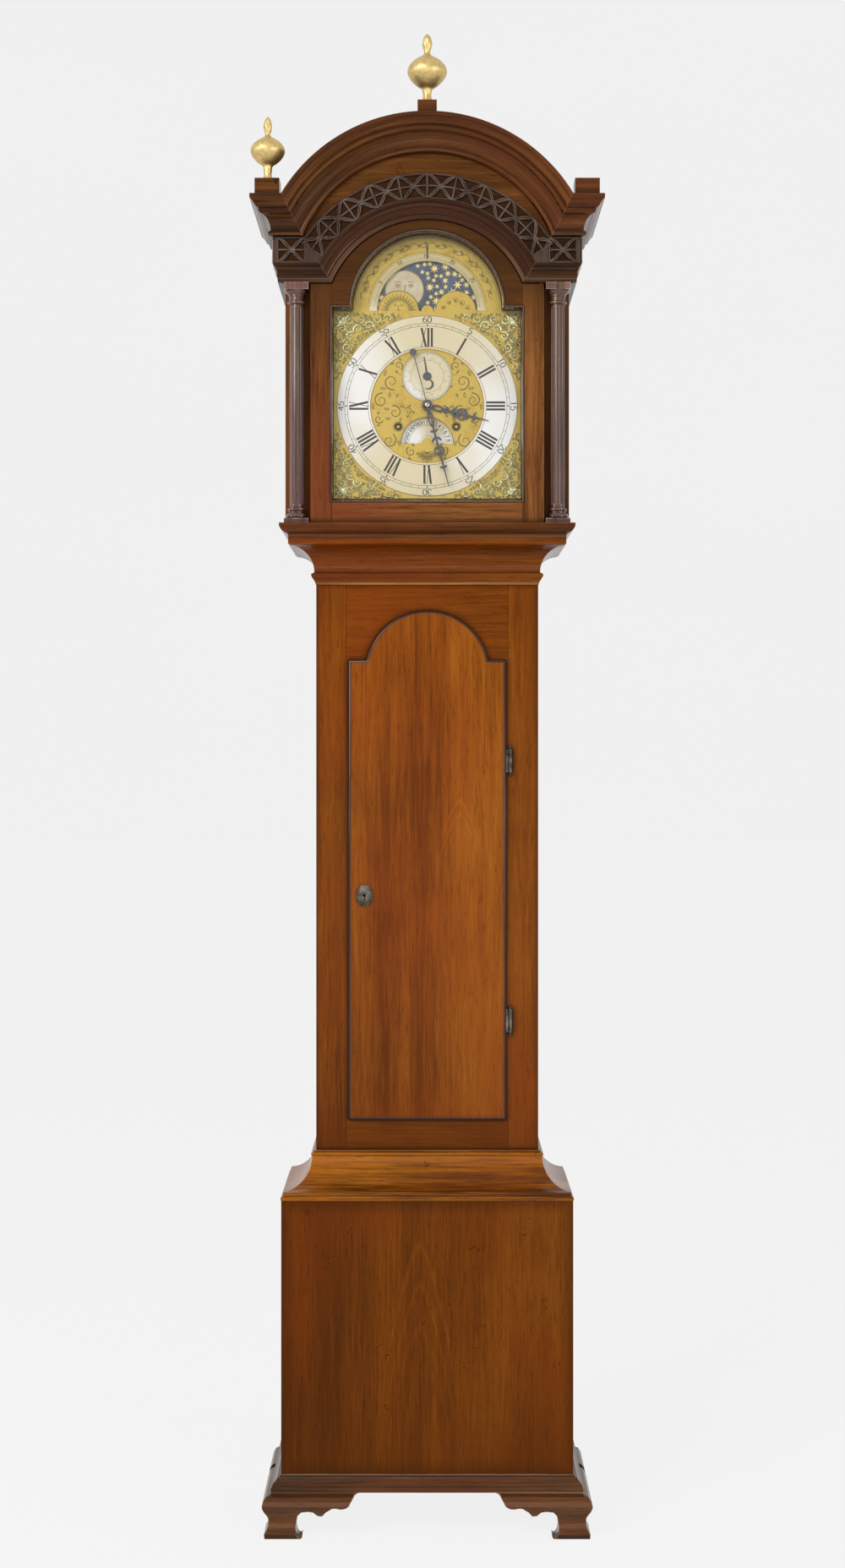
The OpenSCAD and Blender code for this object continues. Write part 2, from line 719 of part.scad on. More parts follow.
module dial_mask() {
    color([0.36, 0.2, 0.1]) slab(mask_y, mask_y + mask_t) difference() {
        translate([-mask_hw, hood_z]) square([2 * mask_hw, mask_h]);
        arched_opening(dial_hw - 2.5, dial_z - dial_hw + 2.5, dial_arch_r - 2, 0);
    }
}

// Two fascias, a bead and a hollow cap
function architrave_profile(z, h) = concat(
    [[0.15, z], [0.15, z + 0.24 * h], [0.3, z + 0.27 * h], [0.34, z + 0.32 * h], [0.3, z + 0.37 * h],
     [0.3, z + 0.6 * h], [0.42, z + 0.64 * h]],
    bow([1, z + 0.64 * h], 0.5, 0.22 * h, 180, 100, 5),
    [[1, z + 0.88 * h], [1, z + h]]
);

module architrave() {
    p = architrave_profile(soffit_z, architrave_h);
    hw = hood_hw + architrave_side;
    x0 = cross_x(arch_r, arch_z, soffit_z);
    x1 = cross_x(architrave_r, arch_z, architrave_top);
    color([0.24, 0.15, 0.1]) {
        pair() {
            intersection() {
                front_length(p, hw, hood_y, architrave_out, architrave_out, 0);
                slab(hood_y - 40, hood_y + 1)
                    beyond_mitre(x0 + mitre_gap, soffit_z, x1 + mitre_gap, architrave_top);
            }
            side_length(p, hw, hood_y, architrave_out, architrave_out, architrave_side, k = 1);
        }
        difference() {
            arch_length(p, arch_z, soffit_z, arch_r, architrave_w / architrave_h, hood_y,
                        architrave_out, 0, fall_angle(arch_r, arch_z, soffit_z) + 6);
            slab(hood_y - 40, hood_y + 1) {
                beyond_mitre(x0, soffit_z, x1, architrave_top);
                mirror([1, 0]) beyond_mitre(x0, soffit_z, x1, architrave_top);
                translate([-hood_w, soffit_z - 200]) square([2 * hood_w, 200]);
            }
        }
    }
}

module frieze_boards() {
    color([0.45, 0.24, 0.1]) {
        slab(frieze_y, hood_y) difference() {
            union() {
                translate([-frieze_hw, architrave_top]) square([2 * frieze_hw, frieze_h]);
                intersection() {
                    translate([0, crown_z]) circle(crown_r, $fn = 96);
                    translate([-hood_hw, frieze_top - 1]) square([hood_w, crown_r]);
                }
            }
            translate([0, arch_z]) circle(architrave_r + 0.05, $fn = 96);
        }
        pair() box([hood_hw, hood_y, architrave_top], [frieze_hw, back_y, frieze_top]);
    }
}

// Openings of one fret unit as shares of its width and height: a spandrel over and under its star,
// and half a lancet on each side, which meets the next unit's half at a mullion
fret_spandrel = [[-0.34, 0.44], [-0.22, 0.34], [-0.11, 0.21], [0, 0.075], [0.11, 0.21], [0.22, 0.34],
    [0.34, 0.44]];
fret_lancet = [[0.13, 0.05], [0.2, 0.15], [0.3, 0.27], [0.4, 0.355], [0.46, 0.4], [0.46, 0.05],
    [0.3, 0.035]];
function fret_windows(p, h) = concat(
    [for (v = [-1, 1]) [for (q = fret_spandrel) [q[0] * p, v * q[1] * h]]],
    [for (s = [-1, 1], v = [-1, 1]) [for (q = fret_lancet) [s * q[0] * p, v * q[1] * h]]]
);
// A unit's point laid round an arch of radius r, or left where it is if r is 0
function laid(q, r) = r == 0 ? q :
    let (a = q[0] / r * 180 / PI) [(r + q[1]) * sin(a), (r + q[1]) * cos(a) - r];
module fret_cuts(p, h, r = 0) {
    for (w = fret_windows(p, h)) polygon([for (q = w) laid(q, r)]);
}

// Gothic fret, sawn from thin wood and laid on the frieze
module fretwork() {
    mid_r = (architrave_r + fret_r) / 2;
    mid_z = (architrave_top + frieze_top) / 2;
    x0 = cross_x(architrave_r, arch_z, architrave_top);
    x1 = cross_x(fret_r, arch_z, frieze_top);
    swing = fall_angle(mid_r, arch_z, mid_z);
    units = round(2 * swing * PI / 180 * mid_r / fret_pitch);
    span = 2 * swing / units;
    arch_pitch = span * PI / 180 * mid_r;
    shoulder = frieze_hw - (x0 + x1) / 2;
    side_units = round((back_y - hood_y) / fret_pitch);
    side_pitch = (back_y - hood_y) / side_units;
    color([0.26, 0.17, 0.12]) {
        slab(frieze_y - fret_t, frieze_y) {
            difference() {
                translate([0, arch_z]) difference() {
                    circle(fret_r, $fn = 96);
                    circle(architrave_r + 0.5, $fn = 96);
                }
                translate([-hood_w, arch_z - 400]) square([2 * hood_w, architrave_top - arch_z + 400]);
                beyond_mitre(x0, architrave_top, x1, frieze_top);
                mirror([1, 0]) beyond_mitre(x0, architrave_top, x1, frieze_top);
                for (i = [0:units - 1])
                    translate([0, arch_z]) rotate(swing - span * (i + 0.5)) translate([0, mid_r])
                        fret_cuts(arch_pitch, frieze_h, mid_r);
            }
            for (s = [0, 1]) mirror([s, 0]) difference() {
                intersection() {
                    translate([0, architrave_top]) square([frieze_hw, frieze_h]);
                    beyond_mitre(x0 + mitre_gap, architrave_top, x1 + mitre_gap, frieze_top);
                }
                translate([frieze_hw - shoulder / 2 + 3, mid_z]) fret_cuts(arch_pitch, frieze_h);
            }
        }
        pair() translate([frieze_hw, 0, 0]) rotate([90, 0, 90]) linear_extrude(fret_t) difference() {
            translate([hood_y, architrave_top]) square([back_y - hood_y, frieze_h]);
            for (i = [0:side_units - 1])
                translate([hood_y + side_pitch * (i + 0.5), mid_z]) fret_cuts(side_pitch, frieze_h);
        }
    }
}

// Bead, hollow, two fillets, ogee and top fillet
function cornice_profile(z, h) = concat(
    [[0.05, z], [0.24, z + 0.03 * h], [0.27, z + 0.08 * h], [0.24, z + 0.13 * h], [0.16, z + 0.15 * h]],
    bow([0.62, z + 0.16 * h], 0.46, 0.4 * h, 180, 95, 8),
    [[0.62, z + 0.58 * h], [0.65, z + 0.62 * h], [0.65, z + 0.68 * h], [0.7, z + 0.69 * h],
     [0.78, z + 0.72 * h], [0.84, z + 0.78 * h], [0.92, z + 0.85 * h], [0.97, z + 0.88 * h],
     [1, z + 0.89 * h], [1, z + h]]
);
side_finial = [46, 102, 9];
centre_finial = [47, 109, 9.5];
side_block = [39, 26];
centre_block = [30.5, 23];
block_y = frieze_y - 9.5;
crown_top = crown_z + crown_r + crown_w;
centre_block_y = frieze_y - 5.5;

module cornice() {
    p = cornice_profile(frieze_top, cornice_h);
    x0 = cross_x(crown_r, crown_z, frieze_top);
    x1 = cross_x(crown_r + crown_w, crown_z, cornice_top);
    color([0.3, 0.18, 0.12]) {
        pair() {
            intersection() {
                front_length(p, frieze_hw, frieze_y, cornice_out, cornice_out, frieze_t);
                slab(frieze_y - 60, hood_y + 1)
                    beyond_mitre(x0 + mitre_gap, frieze_top, x1 + mitre_gap, cornice_top);
            }
            side_length(p, frieze_hw, frieze_y, cornice_out, cornice_out, frieze_hw - hood_hw);
            translate([finial_x - side_block[0] / 2, block_y - side_block[0] / 2, cornice_top])
                cube([side_block[0], side_block[0], side_block[1]]);
        }
        difference() {
            arch_length(p, crown_z, frieze_top, crown_r, crown_w / cornice_h, frieze_y, cornice_out,
                        frieze_t, fall_angle(crown_r, crown_z, frieze_top) + 8);
            slab(frieze_y - 60, hood_y + 1) {
                beyond_mitre(x0, frieze_top, x1, cornice_top);
                mirror([1, 0]) beyond_mitre(x0, frieze_top, x1, cornice_top);
                translate([-hood_w, frieze_top - 100]) square([2 * hood_w, 100]);
            }
        }
        translate([-centre_block[0] / 2, centre_block_y - centre_block[0] / 2, crown_top - 0.5])
            cube([centre_block[0], centre_block[0], centre_block[1]]);
    }
}

module hood_top() {
    r1 = vault_in + vault_t;
    color([0.3, 0.19, 0.12]) slab(front_back_y, back_y) difference() {
        intersection() {
            translate([0, crown_z]) circle(r1, $fn = 96);
            translate([-hood_hw + gap, panel_top]) square([hood_w - 2 * gap, r1]);
        }
        translate([0, crown_z]) circle(vault_in, $fn = 96);
    }
}

// Turned finial: waisted foot, onion ball and flame, from its seat upwards. at is the height of
// the ball's middle, the height of the tip and the radius of the foot.
finial_belly = [[0.29, -0.83], [0.55, -0.64], [0.7, -0.51], [0.82, -0.37], [0.92, -0.21], [0.98, -0.08],
    [1, 0.03], [0.98, 0.16], [0.93, 0.29], [0.84, 0.42], [0.72, 0.54], [0.57, 0.65], [0.4, 0.75],
    [0.26, 0.84], [0.175, 0.94], [0.155, 1.05]];
function finial_points(ball, at) = let (z_ball = at[0], tip = at[1], foot = at[2]) concat(
    [[0, 0], [foot, 0], [foot * 0.96, 1.5], [foot * 0.78, 6], [foot * 0.69, 11], [foot * 0.74, 15]],
    [for (q = finial_belly) [ball * q[0], z_ball + ball * q[1]]],
    [[ball * 0.21, tip - 22], [ball * 0.24, tip - 16], [ball * 0.19, tip - 8],
     [ball * 0.09, tip - 2.5], [0, tip]]
);
module finials() {
    color([0.78, 0.64, 0.3]) {
        translate([-finial_x, block_y, cornice_top + side_block[1]]) rotate_extrude()
            polygon(finial_points(side_ball_r, side_finial));
        translate([0, centre_block_y, crown_top - 0.5 + centre_block[1]]) rotate_extrude()
            polygon(finial_points(centre_ball_r, centre_finial));
    }
}

// Column: square plinth, torus, fluted shaft with a slight swell, astragal, echinus and abacus
module column() {
    h = soffit_z - hood_z;
    half = abacus_w / 2;
    plinth = 8;
    cap = 11;
    translate([-half, -half, 0]) cube([abacus_w, abacus_w, plinth]);
    rotate_extrude() polygon([[0, plinth], [15.5, plinth], [17, 10.5], [17, 13], [15.5, 16],
        [12.4, 17], [12.4, 20], [14.2, 21.5], [14.2, 24.5], [shaft_r + 0.6, 26], [0, 26]]);
    difference() {
        translate([0, 0, 26]) cylinder(h = h - 58, r = shaft_r);
        for (i = [0:flutes - 1]) rotate(360 * i / flutes) translate([shaft_r + 0.5, 0, 32])
            cylinder(h = h - 70, r = shaft_r * 0.17, $fn = 16);
    }
    translate([0, 0, h - 33]) rotate_extrude() polygon([[0, 0], [shaft_r + 0.6, 0], [14.7, 1.5],
        [14.7, 4], [shaft_r + 0.8, 5.5], [shaft_r + 0.8, 12], [13, 13], [13, 15], [16, 18],
        [18, 20.5], [18.4, 22], [0, 22]]);
    translate([-half, -half, h - cap]) cube([abacus_w, abacus_w, cap]);
}
module hood_columns() {
    color([0.33, 0.25, 0.24]) pair() translate([column_x, hood_y + 16, hood_z]) column();
}

// Hood door

module hood_door_outline() {
    z0 = hood_z + hdoor_gap;
    translate([-hdoor_hw, z0]) square([2 * hdoor_hw, soffit_z - hdoor_gap - z0]);
    intersection() {
        translate([0, arch_z]) circle(arch_r - hdoor_gap, $fn = 96);
        translate([-arch_r, arch_z]) square([2 * arch_r, arch_r]);
    }
}

module hood_door_frame() {
    color([0.33, 0.19, 0.1]) difference() {
        slab(hdoor_y, hdoor_y + hdoor_t) difference() {
            hood_door_outline();
            arched_opening(hdoor_open_hw, hdoor_open_z, shoulder_r, 0);
        }
        slab(hdoor_y - 1, hdoor_y + 3) arched_opening(hdoor_open_hw, hdoor_open_z, shoulder_r, 3);
        slab(hdoor_y + 10, hdoor_y + hdoor_t + 1)
            arched_opening(hdoor_open_hw, hdoor_open_z, shoulder_r, rebate);
        pivot_plate(hood_z + hdoor_gap - 1, hood_z + hdoor_gap + 1.5, 0.1);
        pivot_plate(soffit_z - hdoor_gap - 1.5, soffit_z - hdoor_gap + 1, 0.1);
    }
}

module hood_door_glass() {
    color([0.8, 0.85, 0.85, 0.35]) slab(hdoor_y + 10, hdoor_y + 10 + glass_t)
        arched_opening(hdoor_open_hw, hdoor_open_z, shoulder_r, rebate - 0.3);
}

module pivot_plate(z0, z1, grow) {
    box([hdoor_pin[0] - pivot_reach - grow, hdoor_y + 1, z0], [hdoor_hw + (grow > 0 ? 1 : -0.2), hdoor_y + 12, z1]);
}
module hood_door_pivots() {
    z0 = hood_z + hdoor_gap;
    z1 = soffit_z - hdoor_gap;
    color([0.6, 0.5, 0.28]) {
        pivot_plate(z0, z0 + 1.5, 0);
        pivot_plate(z1 - 1.5, z1, 0);
        translate([hdoor_pin[0], hdoor_pin[1], z0 - hdoor_gap - 3]) cylinder(h = hdoor_gap + 3.5, r = hdoor_pin_r);
        translate([hdoor_pin[0], hdoor_pin[1], z1 - 0.5]) cylinder(h = hdoor_gap + 4, r = hdoor_pin_r);
    }
}

// Dial

feet_at = [[-75, -72], [75, -72], [-75, 53], [75, 53]];
module moon_opening() {
    difference() {
        intersection() {
            translate([0, dial_arch_z]) circle(moon_r - 3.6, $fn = 96);
            translate([-moon_r, dial_arch_z]) square([2 * moon_r, moon_r]);
        }
        for (s = [-1, 1]) translate([s * hump_x, dial_arch_z]) circle(hump_r);
        translate([0, dial_arch_z]) circle(9.5);
    }
}
module date_opening() {
    intersection() {
        translate([0, date_z]) circle(date_r);
        translate([-date_r, date_z]) square([2 * date_r, date_r]);
    }
}

module dial_plate() {
    color([0.8, 0.68, 0.34]) {
        slab(dial_y, dial_y + dial_plate_t) difference() {
            union() {
                translate([-dial_hw, dial_z - dial_hw]) square(dial_w);
                translate([0, dial_arch_z]) circle(dial_arch_r, $fn = 96);
            }
            moon_opening();
            difference() {
                date_opening();
                translate([0, date_z]) circle(9.5);
            }
            translate([0, dial_z]) circle(hour_pipe_r + 1.2);
            for (s = [-1, 1]) translate([s * barrel_x, dial_z - barrel_drop]) circle(6);
            translate([0, strike_z]) circle(1.6);
        }
        for (f = feet_at) bar([f[0], dial_z + f[1]], dial_y + dial_plate_t, front_plate_y, 4);
        bar([0, date_z], dial_y + dial_plate_t, date_disc_y + 3, 2);
        bar([0, dial_arch_z], dial_y + dial_plate_t, date_disc_y + 3, 2);
    }
}

module silvered_rings() {
    color([0.85, 0.82, 0.74]) {
        slab(dial_y - ring_t, dial_y) difference() {
            translate([0, dial_z]) circle(chapter_ro, $fn = 96);
            translate([0, dial_z]) circle(chapter_ri, $fn = 96);
        }
        slab(dial_y - 1, dial_y) difference() {
            translate([0, strike_z]) circle(strike_dial_r);
            translate([0, strike_z]) circle(1.6);
        }
        slab(dial_y - 1, dial_y) difference() {
            intersection() {
                translate([0, dial_arch_z]) circle(moon_r + 9, $fn = 96);
                translate([-moon_r - 10, dial_arch_z + 0.5]) square([2 * moon_r + 20, moon_r + 10]);
            }
            translate([0, dial_arch_z]) circle(moon_r - 3.6, $fn = 96);
        }
    }
}

// Cast corner ornament: a shell between two C-scrolls with leaves along both edges
module spandrel() {
    difference() {
        union() {
            for (s = [0, 1]) mirror([s, -s]) {
                translate([46, 14]) difference() {
                    circle(10, $fn = 32);
                    translate([1, 1]) circle(6, $fn = 32);
                }
                translate([27, 17]) circle(8.5, $fn = 32);
                polygon(moved(turned(petal(26, 5), -8), [50, 11]));
                polygon(moved(turned(petal(22, 4), 28), [46, 18]));
                translate([15, 27]) circle(6, $fn = 32);
            }
            translate([14, 14]) circle(9.5, $fn = 32);
            for (q = [0:4]) polygon(moved(turned(petal(22, 3.2), 5 + 20 * q), [16, 16]));
        }
        for (s = [0, 1]) mirror([s, -s]) translate([27, 16.5]) circle(3.6, $fn = 24);
        translate([13, 13]) circle(2, $fn = 24);
    }
}
module spandrels() {
    inset = 5;
    color([0.76, 0.6, 0.26]) for (a = [0:90:270]) {
        slab(dial_y - 2, dial_y) translate([0, dial_z]) rotate(a)
            difference() {
                translate([-dial_hw + inset, -dial_hw + inset]) intersection() {
                    spandrel();
                    square(76);
                }
                circle(chapter_ro + 1.5, $fn = 96);
            }
    }
}

// Hands. Each is drawn upright about the dial's centre, then turned to the time.

minute_turn = shown_minute * 6;
hour_turn = shown_hour * 30 + shown_minute / 2;

// Pierced and scrolled outline: an oval root, a cross bar, a round loop and a fine tip
module ornate_hand(len, loop_r) {
    root = 0.17 * len;
    mid = 0.56 * len;
    difference() {
        union() {
            polygon(moved(bow([0, 0], 5.2, root * 0.62, 0, 330, 11), [0, root]));
            translate([-1.6, 2]) square([3.2, mid - 4]);
            translate([0, mid]) circle(loop_r, $fn = 32);
            polygon([[-2, mid], [2, mid], [1.2, 0.78 * len], [0.5, len], [-0.5, len], [-1.2, 0.78 * len]]);
            for (f = [0.32, 0.76]) translate([0, f * len])
                for (s = [-1, 1]) polygon([[0, -1.8], [s * 5.6, -2.4], [s * 6.2, 0], [s * 3.8, 1.6], [0, 2.2]]);
            for (s = [-1, 1]) polygon(moved(turned(petal(13, 2), 90 + s * 42), [0, 0.38 * len]));
        }
        translate([0, root]) polygon(bow([0, 0.4], 2.6, root * 0.36, 0, 330, 11));
        for (s = [-1, 1]) translate([s * (loop_r * 0.42), mid]) circle(loop_r * 0.34, $fn = 24);
    }
}

module minute_hand() {
    reach = chapter_ro - 10;
    translate([0, 0, dial_z]) {
        color([0.12, 0.14, 0.22]) slab(minute_hand_y, minute_hand_y + hand_t) difference() {
            union() {
                circle(6, $fn = 32);
                rotate(-minute_turn) ornate_hand(reach, 8.5);
            }
            circle(cannon_r, $fn = 32);
        }
        color([0.75, 0.6, 0.28]) difference() {
            union() {
                bar([0, 0], minute_hand_y - 1, motion_y + motion_t, cannon_r);
                slab(motion_y, motion_y + motion_t) rotate(motion_phase) wheel_outline(motion_n, motion_m, 4);
            }
            bar([0, 0], minute_hand_y - 2, motion_y + motion_t + 1, seconds_r + pivot_gap);
        }
    }
}

module hour_hand() {
    reach = chapter_ri + 10;
    translate([0, 0, dial_z]) {
        color([0.12, 0.14, 0.22]) slab(hour_hand_y, hour_hand_y + hand_t) difference() {
            union() {
                circle(8, $fn = 32);
                rotate(-hour_turn) ornate_hand(reach, 9.5);
            }
            circle(hour_pipe_r, $fn = 32);
        }
        color([0.75, 0.6, 0.28]) difference() {
            union() {
                bar([0, 0], hour_hand_y, hour_y + motion_t, hour_pipe_r);
                slab(hour_y, hour_y + motion_t) rotate(hour_phase) wheel_outline(hour_n, hour_m, 6);
            }
            bar([0, 0], hour_hand_y - 1, hour_y + motion_t + 1, cannon_r + pivot_gap);
        }
    }
}

module seconds_hand() {
    color([0.12, 0.14, 0.22]) translate([0, 0, dial_z])
        slab(seconds_hand_y, seconds_hand_y + hand_t) rotate(-minute_turn) difference() {
            union() {
                circle(3.4, $fn = 32);
                polygon([[-0.8, -84], [0.8, -84], [0.35, chapter_ro - 12], [-0.35, chapter_ro - 12]]);
                translate([0, -87.5]) circle(5.5, $fn = 32);
            }
            circle(seconds_r, $fn = 24);
        }
}

module strike_silent_hand() {
    color([0.12, 0.14, 0.22]) translate([0, 0, strike_z]) {
        slab(dial_y - 2.5, dial_y - 1.5) rotate(9) difference() {
            union() {
                circle(6.8, $fn = 32);
                polygon([[-1.7, 0], [1.7, 0], [0.6, 32], [-0.6, 32]]);
                difference() {
                    translate([0, -12.9]) circle(8.3, $fn = 32);
                    translate([-2.2, -12]) circle(7.4, $fn = 32);
                }
            }
            circle(1.5, $fn = 24);
        }
        bar([0, 0], dial_y - 3, dial_y + dial_plate_t + 2, 1.5);
        bar([0, 0], dial_y + dial_plate_t + 0.3, dial_y + dial_plate_t + 2.3, 3.5);
    }
}

module date_disc() {
    color([0.82, 0.78, 0.68]) slab(date_disc_y, date_disc_y + motion_t) translate([0, date_z])
        difference() {
            circle(date_r + 0.6, $fn = 96);
            circle(2 + pivot_gap, $fn = 32);
        }
}

module moon_disc() {
    color([0.36, 0.42, 0.52]) slab(date_disc_y, date_disc_y + motion_t) translate([0, dial_arch_z])
        difference() {
            circle(moon_r, $fn = 96);
            circle(2 + pivot_gap, $fn = 32);
        }
}

// Wheels and pinions

// Teeth with straight flanks: root and tip widths are shares of the pitch
function teeth(n, m, add, ded, root_w, tip_w) =
    [for (i = [0:n - 1], k = [0:3])
        let (a = 360 / n * (i + [-root_w, -tip_w, tip_w, root_w][k]),
             r = n * m / 2 + [-ded, add, add, -ded][k] * m)
        [r * cos(a), r * sin(a)]];
// Crossed-out wheel with four arms
module wheel_outline(n, m, hub) {
    rim = n * m / 2 - 2.6;
    difference() {
        polygon(teeth(n, m, 0.7, 1, 0.26, 0.09));
        if (rim > hub + 5) for (a = [0:90:270]) rotate(a) intersection() {
            difference() {
                circle(rim);
                circle(hub, $fn = 32);
            }
            translate([1.4, 1.4]) square(rim);
        }
    }
}
module pinion_outline(n, m) {
    polygon(teeth(n, m, 0.7, 1.1, 0.16, 0.12));
}
// Phase of wheel j, whose centre lies at angle phi from wheel i, so that its gap faces i's tooth
function meshed(phi, phase_i, n_i, n_j) = phi + 180 - (0.5 - (phi - phase_i) * n_i / 360) * 360 / n_j;
function bearing(p, q) = atan2(q[1] - p[1], q[0] - p[0]);

second_pinion_phase = meshed(bearing(going_at, second_at), 0, great_n, leaves);
third_pinion_phase = meshed(bearing(second_at, third_at), 0, second_n, leaves);
escape_pinion_phase = meshed(bearing(third_at, centre_at), 0, third_n, fine_leaves);
pin_pinion_phase = meshed(bearing(strike_at, pin_at), 0, strike_great_n, leaves);
gather_pinion_phase = meshed(bearing(pin_at, gather_at), 0, pin_n, leaves);
warn_pinion_phase = meshed(bearing(gather_at, warn_at), 0, third_n, fine_leaves);
fly_pinion_phase = meshed(bearing(warn_at, fly_at), 0, warn_n, fine_leaves);
idler_phase = meshed(bearing(second_at, idler_at), 0, motion_n, motion_n);
motion_phase = meshed(bearing(idler_at, centre_at), idler_phase, motion_n, motion_n);
hour_phase = meshed(bearing(idler_at, centre_at), 0, idler_leaves, hour_n);

// An arbor between the plates with a wheel and a pinion, in its own centre's frame
module train_arbor(at, wheel_n, wheel_m, wheel_y, pin_leaves, pin_m, pinion_y, pinion_l, phase, front, back) {
    translate([at[0], 0, dial_z + at[1]]) {
        color([0.75, 0.6, 0.28])
            slab(wheel_y, wheel_y + wheel_t) wheel_outline(wheel_n, wheel_m, 4);
        color([0.6, 0.6, 0.6]) {
            slab(pinion_y, pinion_y + pinion_l) rotate(phase) pinion_outline(pin_leaves, pin_m);
            bar([0, 0], front, back, arbor_r * 0.7);
            bar([0, 0], front_plate_y + plate_t + 0.2, back_plate_y - 0.2, arbor_r);
        }
    }
}

module going_great_wheel() {
    great_wheel(going_at, great_n);
}
module strike_great_wheel() {
    great_wheel(strike_at, strike_great_n);
}
// The great wheel runs loose on its barrel's arbor
module great_wheel(at, n) {
    color([0.75, 0.6, 0.28]) translate([at[0], 0, dial_z + at[1]])
        slab(great_y, great_y + great_t) difference() {
            wheel_outline(n, train_m, 12);
            circle(4 + pivot_gap, $fn = 32);
        }
}

module barrel(at) {
    translate([at[0], 0, dial_z + at[1]]) {
        color([0.72, 0.58, 0.27]) {
            bar([0, 0], drum_y0, drum_y1, barrel_r);
            bar([0, 0], drum_y0 - 1.5, drum_y0, barrel_r + 2);
            bar([0, 0], drum_y1, drum_y1 + 1.5, barrel_r + 2);
        }
        color([0.6, 0.6, 0.6]) {
            bar([0, 0], great_y - 3, drum_y0 - 1.5, 4);
            bar([0, 0], front_plate_y + plate_t + 0.2, back_plate_y - 0.2, 3.5);
            bar([0, 0], dial_y + 6, plate_back, 2.5);
            slab(dial_y + 1, dial_y + 16) square(4, center = true);
        }
    }
}
module going_barrel() {
    barrel(going_at);
}
module strike_barrel() {
    barrel(strike_at);
}

module intermediate_wheel() {
    train_arbor(second_at, second_n, train_m, second_y, leaves, train_m, great_y - 1, great_t + 2,
                second_pinion_phase, motion_y - 1, plate_back);
}
// The wheel that drives the motion work slips on the arbor when the hands are set
module motion_driver() {
    color([0.75, 0.6, 0.28]) translate([second_at[0], 0, dial_z + second_at[1]])
        slab(motion_y, motion_y + motion_t) difference() {
            wheel_outline(motion_n, motion_m, 4);
            circle(arbor_r * 0.7 + pivot_gap, $fn = 24);
        }
}
module third_wheel() {
    train_arbor(third_at, third_n, train_m, third_y, leaves, train_m, second_y - 1, wheel_t + 2,
                third_pinion_phase, front_plate_y, plate_back);
}
module pin_wheel() {
    train_arbor(pin_at, pin_n, train_m, second_y, leaves, train_m, great_y - 1, great_t + 2,
                pin_pinion_phase, front_plate_y, plate_back);
    color([0.6, 0.6, 0.6]) for (a = [22.5:45:360]) translate([0, 0, dial_z])
        bar(on_circle(pin_at, pin_circle, a), second_y + wheel_t - 0.1, second_y + wheel_t + 2.4, 0.7);
}
module gathering_wheel() {
    train_arbor(gather_at, third_n, train_m, third_y, leaves, train_m, second_y - 1, wheel_t + 2,
                gather_pinion_phase, front_plate_y - 5, plate_back);
}
module warning_wheel() {
    train_arbor(warn_at, warn_n, warn_m, warn_y, fine_leaves, train_m, third_y - 1, wheel_t + 2,
                warn_pinion_phase, front_plate_y, plate_back);
}

// The fly brakes the striking train with two vanes
module fly() {
    translate([fly_at[0], 0, dial_z + fly_at[1]]) {
        color([0.6, 0.6, 0.6]) {
            slab(warn_y - 1, warn_y + wheel_t + 1) rotate(fly_pinion_phase) pinion_outline(fine_leaves, warn_m);
            bar([0, 0], front_plate_y, plate_back, arbor_r * 0.7);
            bar([0, 0], front_plate_y + plate_t + 0.2, back_plate_y - 0.2, arbor_r * 0.8);
        }
        color([0.75, 0.6, 0.28]) slab(warn_y + 4, warn_y + 17) square([25, 0.8], center = true);
    }
}

// Escape wheel with raked pointed teeth, on the arbor that carries the seconds hand
module escape_wheel() {
    translate([0, 0, dial_z]) {
        color([0.75, 0.6, 0.28]) slab(escape_y, escape_y + wheel_t) difference() {
            polygon([for (i = [0:29], k = [0:2])
                let (a = 12 * i + [-4, 0, 2][k], r = [escape_r - 4, escape_r, escape_r - 4][k])
                [r * cos(a), r * sin(a)]]);
            for (a = [0:90:270]) rotate(a) intersection() {
                difference() {
                    circle(escape_r - 6.5);
                    circle(4, $fn = 32);
                }
                translate([1.2, 1.2]) square(escape_r);
            }
        }
        color([0.6, 0.6, 0.6]) {
            slab(third_y - 1, third_y + wheel_t + 1) rotate(escape_pinion_phase)
                pinion_outline(fine_leaves, train_m);
            bar([0, 0], seconds_hand_y - 1.5, plate_back, seconds_r);
        }
    }
}

// The idler of the motion work runs on a stud in the front plate
module minute_wheel() {
    color([0.75, 0.6, 0.28]) translate([idler_at[0], 0, dial_z + idler_at[1]]) difference() {
        union() {
            slab(motion_y, motion_y + motion_t) rotate(idler_phase) wheel_outline(motion_n, motion_m, 4);
            slab(hour_y - 0.4, motion_y + eps) pinion_outline(idler_leaves, hour_m);
        }
        bar([0, 0], hour_y - 1, motion_y + motion_t + 1, 0.8 + pivot_gap);
    }
}

